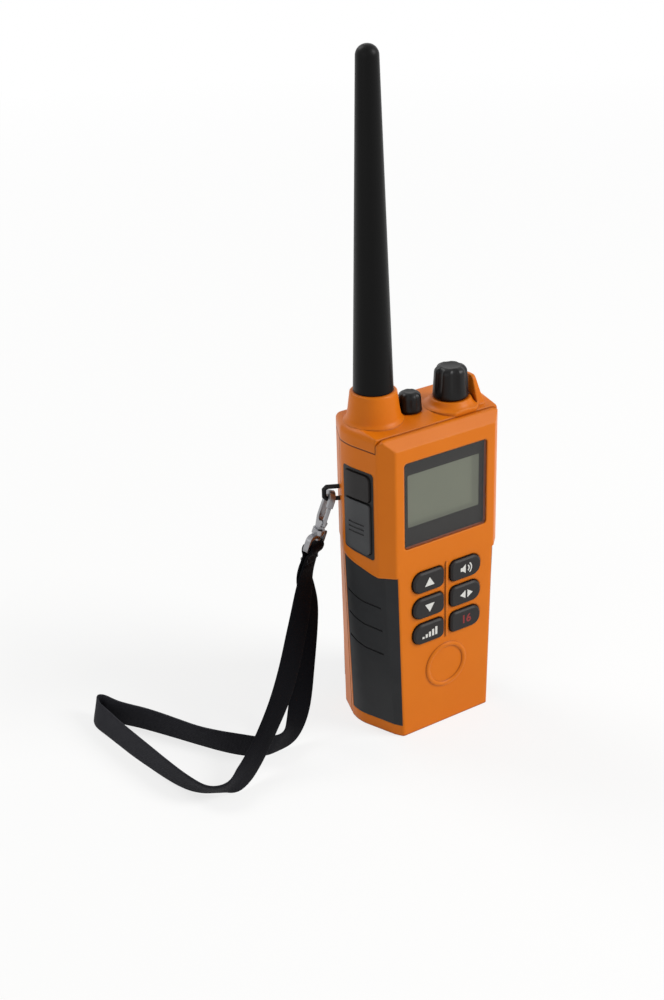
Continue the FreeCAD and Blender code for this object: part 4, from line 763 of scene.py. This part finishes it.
# Soft-edged knobs with shallow scoops for the fingers. Sizes in mm, angles in degrees.
knobs = {
    "volumeKnob": {"node": "volume_knob", "body": "volume", "place": (13.95, -6.2, 137.5), "height": 12.4,
                   "foot": 7.1, "top": 6.5, "round": 2.6, "flutes": 6, "turn": 8.6, "scoop": 0.8,
                   "bore": 3.05, "boreDeep": 4.0, "dish": 0.25},
    "channelKnob": {"node": "channel_knob", "body": "channel", "place": (-3.2, -2.6, 134.3), "height": 7.8,
                    "foot": 4.9, "top": 4.55, "round": 2.4, "flutes": 8, "turn": 8.6, "scoop": 0.3,
                    "bore": 2.05, "boreDeep": 4.0, "dish": 0.12},
}
# What both knobs share
knobForm = {
    "footRound": 0.5, "footCut": 0.12,  # mm
    "steps": 8,  # rings up the side, and again over the round
    "perFlute": 18,  # points round each flute
    "scoopRise": 2.2,  # how soon the scoops are fully deep above the foot
    "scoopFade": 0.6,  # how late they run out over the round
    "scoopSpread": 0.35,  # how far each scoop goes round its flute
    "dishEdge": 0.82, "dishFlat": 0.5,  # shares of the flat top's radius
}


def knobProfile(look):
    # radius, height and how deep the scoops are, from the bore over the foot and the side to the middle
    height, foot, top, soft = look["height"], look["foot"], look["top"], look["round"]
    footRound, footCut, steps = knobForm["footRound"], knobForm["footCut"], knobForm["steps"]
    rows = [(0, look["boreDeep"], 0), (look["bore"], look["boreDeep"], 0), (look["bore"], 0, 0),
            (foot - footRound, 0, 0), (foot - footCut, footCut, 0), (foot, footRound, 0)]
    straight, flat = height - soft, top - soft
    for i in range(1, steps + 1):
        t = i / steps
        rows.append((foot + (top - foot) * t, footRound + (straight - footRound) * t,
                     min(1, t * knobForm["scoopRise"])))
    for i in range(1, steps + 1):
        a = math.pi / 2 * i / steps
        scooped = math.cos(a) ** knobForm["scoopFade"] if i < steps else 0
        rows.append((flat + soft * math.cos(a), straight + soft * math.sin(a), scooped))
    rows += [(flat * knobForm["dishEdge"], height - look["dish"] * 0.5, 0),
             (flat * knobForm["dishFlat"], height - look["dish"], 0), (0, height - look["dish"], 0)]
    return rows


def knobMesh(name, look):
    mesh = bmesh.new()
    around, spread = look["flutes"] * knobForm["perFlute"], knobForm["scoopSpread"]
    centre = Vector(look["place"])
    rings = []
    for radius, height, scooped in knobProfile(look):
        ring = []
        for k in range(around if radius else 1):
            angle = 2 * math.pi * k / around
            wave = math.cos(look["flutes"] * (angle - math.radians(look["turn"])))
            wave = max(0, (wave + spread) / (1 + spread))
            r = radius - look["scoop"] * scooped * wave * wave * (3 - 2 * wave)
            spot = Vector((math.cos(angle) * r, math.sin(angle) * r, height))
            ring.append(mesh.verts.new((centre + spot) * mm))
        rings.append(ring)
    for a, b in zip(rings, rings[1:]):
        joinRings(mesh, a, b, smooth=True)
    piece = makePiece(name, mesh)
    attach(piece, look["body"])
    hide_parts(look["node"])
    return piece


knobPieces = [knobMesh(name, look) for name, look in knobs.items()]
print("knobs turned")

# Ink on the back of the window: a dark border that leaves the visible part of the screen open. Sizes in mm.
windowInk = {
    "outer": (39.5, 36.3), "outerMiddle": 104.2, "outerRound": 1.0,
    "hole": (34.6, 22.4), "holeMiddle": 105.3, "holeRound": 0.6,
    "front": -20.30, "back": -20.24, "cornerSteps": 6,
    "colour": "#171414", "thin": "#1C1919",
}
# The cell's front polariser: the pale film that shows in the window's opening. Sizes in mm.
screenFilm = {"size": (34.9, 23.0), "middle": 105.2, "round": 0.4, "cornerSteps": 3,
              "front": -20.235, "back": -20.205}


def roundedCorners(width, height, middle, radius, steps):
    # points round a rectangle with rounded corners, the same number for any size
    points = []
    for sx, sz, start in ((1, 1, 0), (-1, 1, 90), (-1, -1, 180), (1, -1, 270)):
        for i in range(steps + 1):
            a = math.radians(start + 90 * i / steps)
            points.append((sx * (width / 2 - radius) + radius * math.cos(a),
                           middle + sz * (height / 2 - radius) + radius * math.sin(a)))
    return points


def upright(mesh, outline, y):
    # an outline of x and z in mm as points at one depth
    return [mesh.verts.new(Vector((x, y, z)) * mm) for x, z in outline]


def addPlate(mesh, outline, front, back):
    # a closed plate between two depths
    near, far = upright(mesh, outline, front), upright(mesh, outline, back)
    mesh.faces.new(near)
    mesh.faces.new(far[::-1])
    joinRings(mesh, far, near)


def inkBorder():
    look = windowInk
    outlines = [
        roundedCorners(*look[edge], look[edge + "Middle"], look[edge + "Round"], look["cornerSteps"])
        for edge in ("outer", "hole")]
    mesh = bmesh.new()
    frontOuter, frontHole, backOuter, backHole = [
        upright(mesh, outline, y) for y in (look["front"], look["back"]) for outline in outlines]
    loop = [frontOuter, frontHole, backHole, backOuter, frontOuter]
    for a, b in zip(loop, loop[1:]):
        joinRings(mesh, a, b)
    piece = makePiece("windowInk", mesh)
    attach(piece, "radio")
    return piece


def filmPiece():
    look = screenFilm
    mesh = bmesh.new()
    corners = roundedCorners(*look["size"], look["middle"], look["round"], look["cornerSteps"])
    addPlate(mesh, corners, look["front"], look["back"])
    piece = makePiece("screenFilm", mesh)
    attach(piece, "radio")
    return piece


inkPiece = inkBorder()
filmOverCell = filmPiece()

# Plain signs printed on the keys. Outlines are x and z in mm from the middle of each key.
keySigns = {
    "columnX": 9.2, "rowZ": (69.3, 57.6, 45.9), "face": -23.5, "ink": 0.045, "sunk": 0.02,
    "arrow": [(-2.3, -1.7), (2.3, -1.7), (0, 2.0)],
    "sideArrows": [[(-3.2, 0), (-0.5, -1.8), (-0.5, 1.8)], [(3.2, 0), (0.5, 1.8), (0.5, -1.8)]],
    "horn": [(-3.0, -0.8), (-2.0, -0.8), (-0.5, -2.0), (-0.5, 2.0), (-2.0, 0.8), (-3.0, 0.8)],
    "waves": {"middle": -0.4, "radii": (1.9, 3.1), "wide": 0.55, "spread": 48, "steps": 8},
    "bars": {"count": 5, "step": 1.6, "wide": 1.0, "low": 0.9, "high": 3.7},
    "number": {"text": "16", "size": 5.0, "bolder": 0.15},
}


def soundWave(radius):
    look = keySigns["waves"]
    inner, outer = [], []
    for i in range(look["steps"] + 1):
        a = math.radians(look["spread"] * (2 * i / look["steps"] - 1))
        for points, r in ((outer, radius), (inner, radius - look["wide"])):
            points.append((look["middle"] + r * math.cos(a), r * math.sin(a)))
    return outer + inner[::-1]


def risingBars():
    look = keySigns["bars"]
    foot, half = -look["high"] / 2, look["wide"] / 2
    bars = []
    for i in range(look["count"]):
        x = (i - (look["count"] - 1) / 2) * look["step"]
        head = foot + look["low"] + (look["high"] - look["low"]) * i / (look["count"] - 1)
        bars.append([(x - half, foot), (x + half, foot), (x + half, head), (x - half, head)])
    return bars


def signOutlines():
    # for each key its column, its row and the outlines of its sign
    waves = [soundWave(radius) for radius in keySigns["waves"]["radii"]]
    return {
        "key_up": (-1, 0, [keySigns["arrow"]]),
        "key_squelch": (1, 0, [keySigns["horn"]] + waves),
        "key_down": (-1, 1, [[(x, -z) for x, z in keySigns["arrow"]]]),
        "key_scan": (1, 1, keySigns["sideArrows"]),
        "key_power": (-1, 2, risingBars()),
    }


def signPiece(key, column, row, outlines):
    mesh = bmesh.new()
    x0, z0 = keySigns["columnX"] * column, keySigns["rowZ"][row]
    for outline in outlines:
        addPlate(mesh, [(x0 + x, z0 + z) for x, z in outline],
                 keySigns["face"] - keySigns["ink"], keySigns["face"] + keySigns["sunk"])
    piece = makePiece(key + "Sign", mesh)
    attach(piece, key + "_button")
    return piece


def channelNumber():
    # the plain number of the calling channel, set in Blender's own font
    look = keySigns["number"]
    data = bpy.data.curves.new("callNumber", "FONT")
    data.body = look["text"]
    data.size = look["size"] * mm
    data.align_x, data.align_y = "CENTER", "CENTER"
    data.offset = look["bolder"] * mm
    data.extrude = keySigns["ink"] * mm / 2
    lettering = bpy.data.objects.new("callNumber", data)
    scene.collection.objects.link(lettering)
    lettering.rotation_euler = (math.pi / 2, 0, 0)
    lettering.location = Vector((keySigns["columnX"], keySigns["face"], keySigns["rowZ"][2])) * mm
    bpy.context.view_layer.update()
    flat = bpy.data.meshes.new_from_object(lettering.evaluated_get(bpy.context.evaluated_depsgraph_get()))
    flat.transform(lettering.matrix_world)
    bpy.data.objects.remove(lettering)
    piece = bpy.data.objects.new("key_distressSign", flat)
    scene.collection.objects.link(piece)
    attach(piece, "key_distress_button")
    return piece


whiteSigns = [signPiece(key, *rest) for key, rest in signOutlines().items()]
redSign = channelNumber()
print("window border and", len(whiteSigns) + 1, "key signs printed")


def printInk(name, look):
    # Screen-printed ink: flat, a little uneven in tone where the film is thin, with a soft low gloss
    material = emptyMaterial(name)
    where = placeOn(material)
    film = noise(material, where, look["patch"], detail=3.0)
    vary, bump, depth = 0.06, 0.15, 0.02  # of the gloss and of the film, whose depth is in mm
    return principled(material, {"IOR": 1.5, "Specular IOR Level": look["specular"]},
                      {"Base Color": mixTones(material, film, look["colour"], look["thin"]),
                       "Roughness": varied(material, film, look["roughness"], vary),
                       "Normal": relief(material, film, bump, depth)})


# White and dull red key ink, and the black border behind the window
whiteInk = printInk("whiteInk", {
    "colour": "#DCDCD8", "thin": "#C6C5C0", "roughness": 0.45, "specular": 0.4, "patch": 0.8})
redInk = printInk("redInk", {
    "colour": "#8E2A2A", "thin": "#742222", "roughness": 0.45, "specular": 0.3, "patch": 0.8})
borderInk = printInk("borderInk", {
    "colour": windowInk["colour"], "thin": windowInk["thin"],
    "roughness": 0.4, "specular": 0.12, "patch": 3.0})

finishOf = {
    orangeAbs: ["front_shell", "rear_shell", "top_cap"],
    gripRubber: ["left_grip", "right_grip", "accessory_cover"],
    sheenPaintedPad: ["ptt_button"],
    keyRubber: ["ptt_frame", "side_button", "key_up", "key_squelch", "key_down", "key_scan",
                "key_power", "key_distress"],
    knobRubber: ["volume_knob", "channel_knob"],
    sheathRubber: ["antenna_sheath"],
    blackAbs: ["battery_case", "battery_lid", "battery_latch", "belt_clip", "clip_bracket", "lcd_frame",
               "accessory_socket", "microphone"],
    sealSilicone: ["housing_gasket", "volume_seal", "channel_seal", "keypad_mat"],
    solderMask: ["main_board", "ptt_switches"],
    satinNickel: ["snap_hook", "hook_gate", "gate_pin", "swivel_eye"],
    drawnSteel: ["case_screws", "cover_screw", "latch_pin", "clip_pin", "clip_spring", "volume_shaft",
                 "channel_shaft", "antenna_whip"],
    blackedSteel: ["lanyard_bar"],
    goldPlate: ["radio_contacts", "battery_contacts", "antenna_socket"],
    tinPlate: ["shield_can", "volume_control", "channel_control", "speaker"],
    castAlloy: ["chassis", "battery_cells"],
    polycarbonate: ["display_window"],
    crystal: ["lcd_module"],
    webbing: ["strap_end", "wrist_strap"],
}
ownPieces = {
    webbing: [wristStrap, sewnEnd],
    sewingThread: [sewnThread],
    knobRubber: knobPieces,
    whiteInk: whiteSigns,
    redInk: [redSign],
    borderInk: [inkPiece],
    crystal: [filmOverCell],
}


def giveFinish(piece, material):
    piece.data.materials.clear()
    piece.data.materials.append(material)


for finish, names in finishOf.items():
    for name in names:
        giveFinish(nodes[name], finish)
for finish, pieces in ownPieces.items():
    for piece in pieces:
        giveFinish(piece, finish)
print("finishes given to", sum(len(names) for names in finishOf.values()), "nodes")
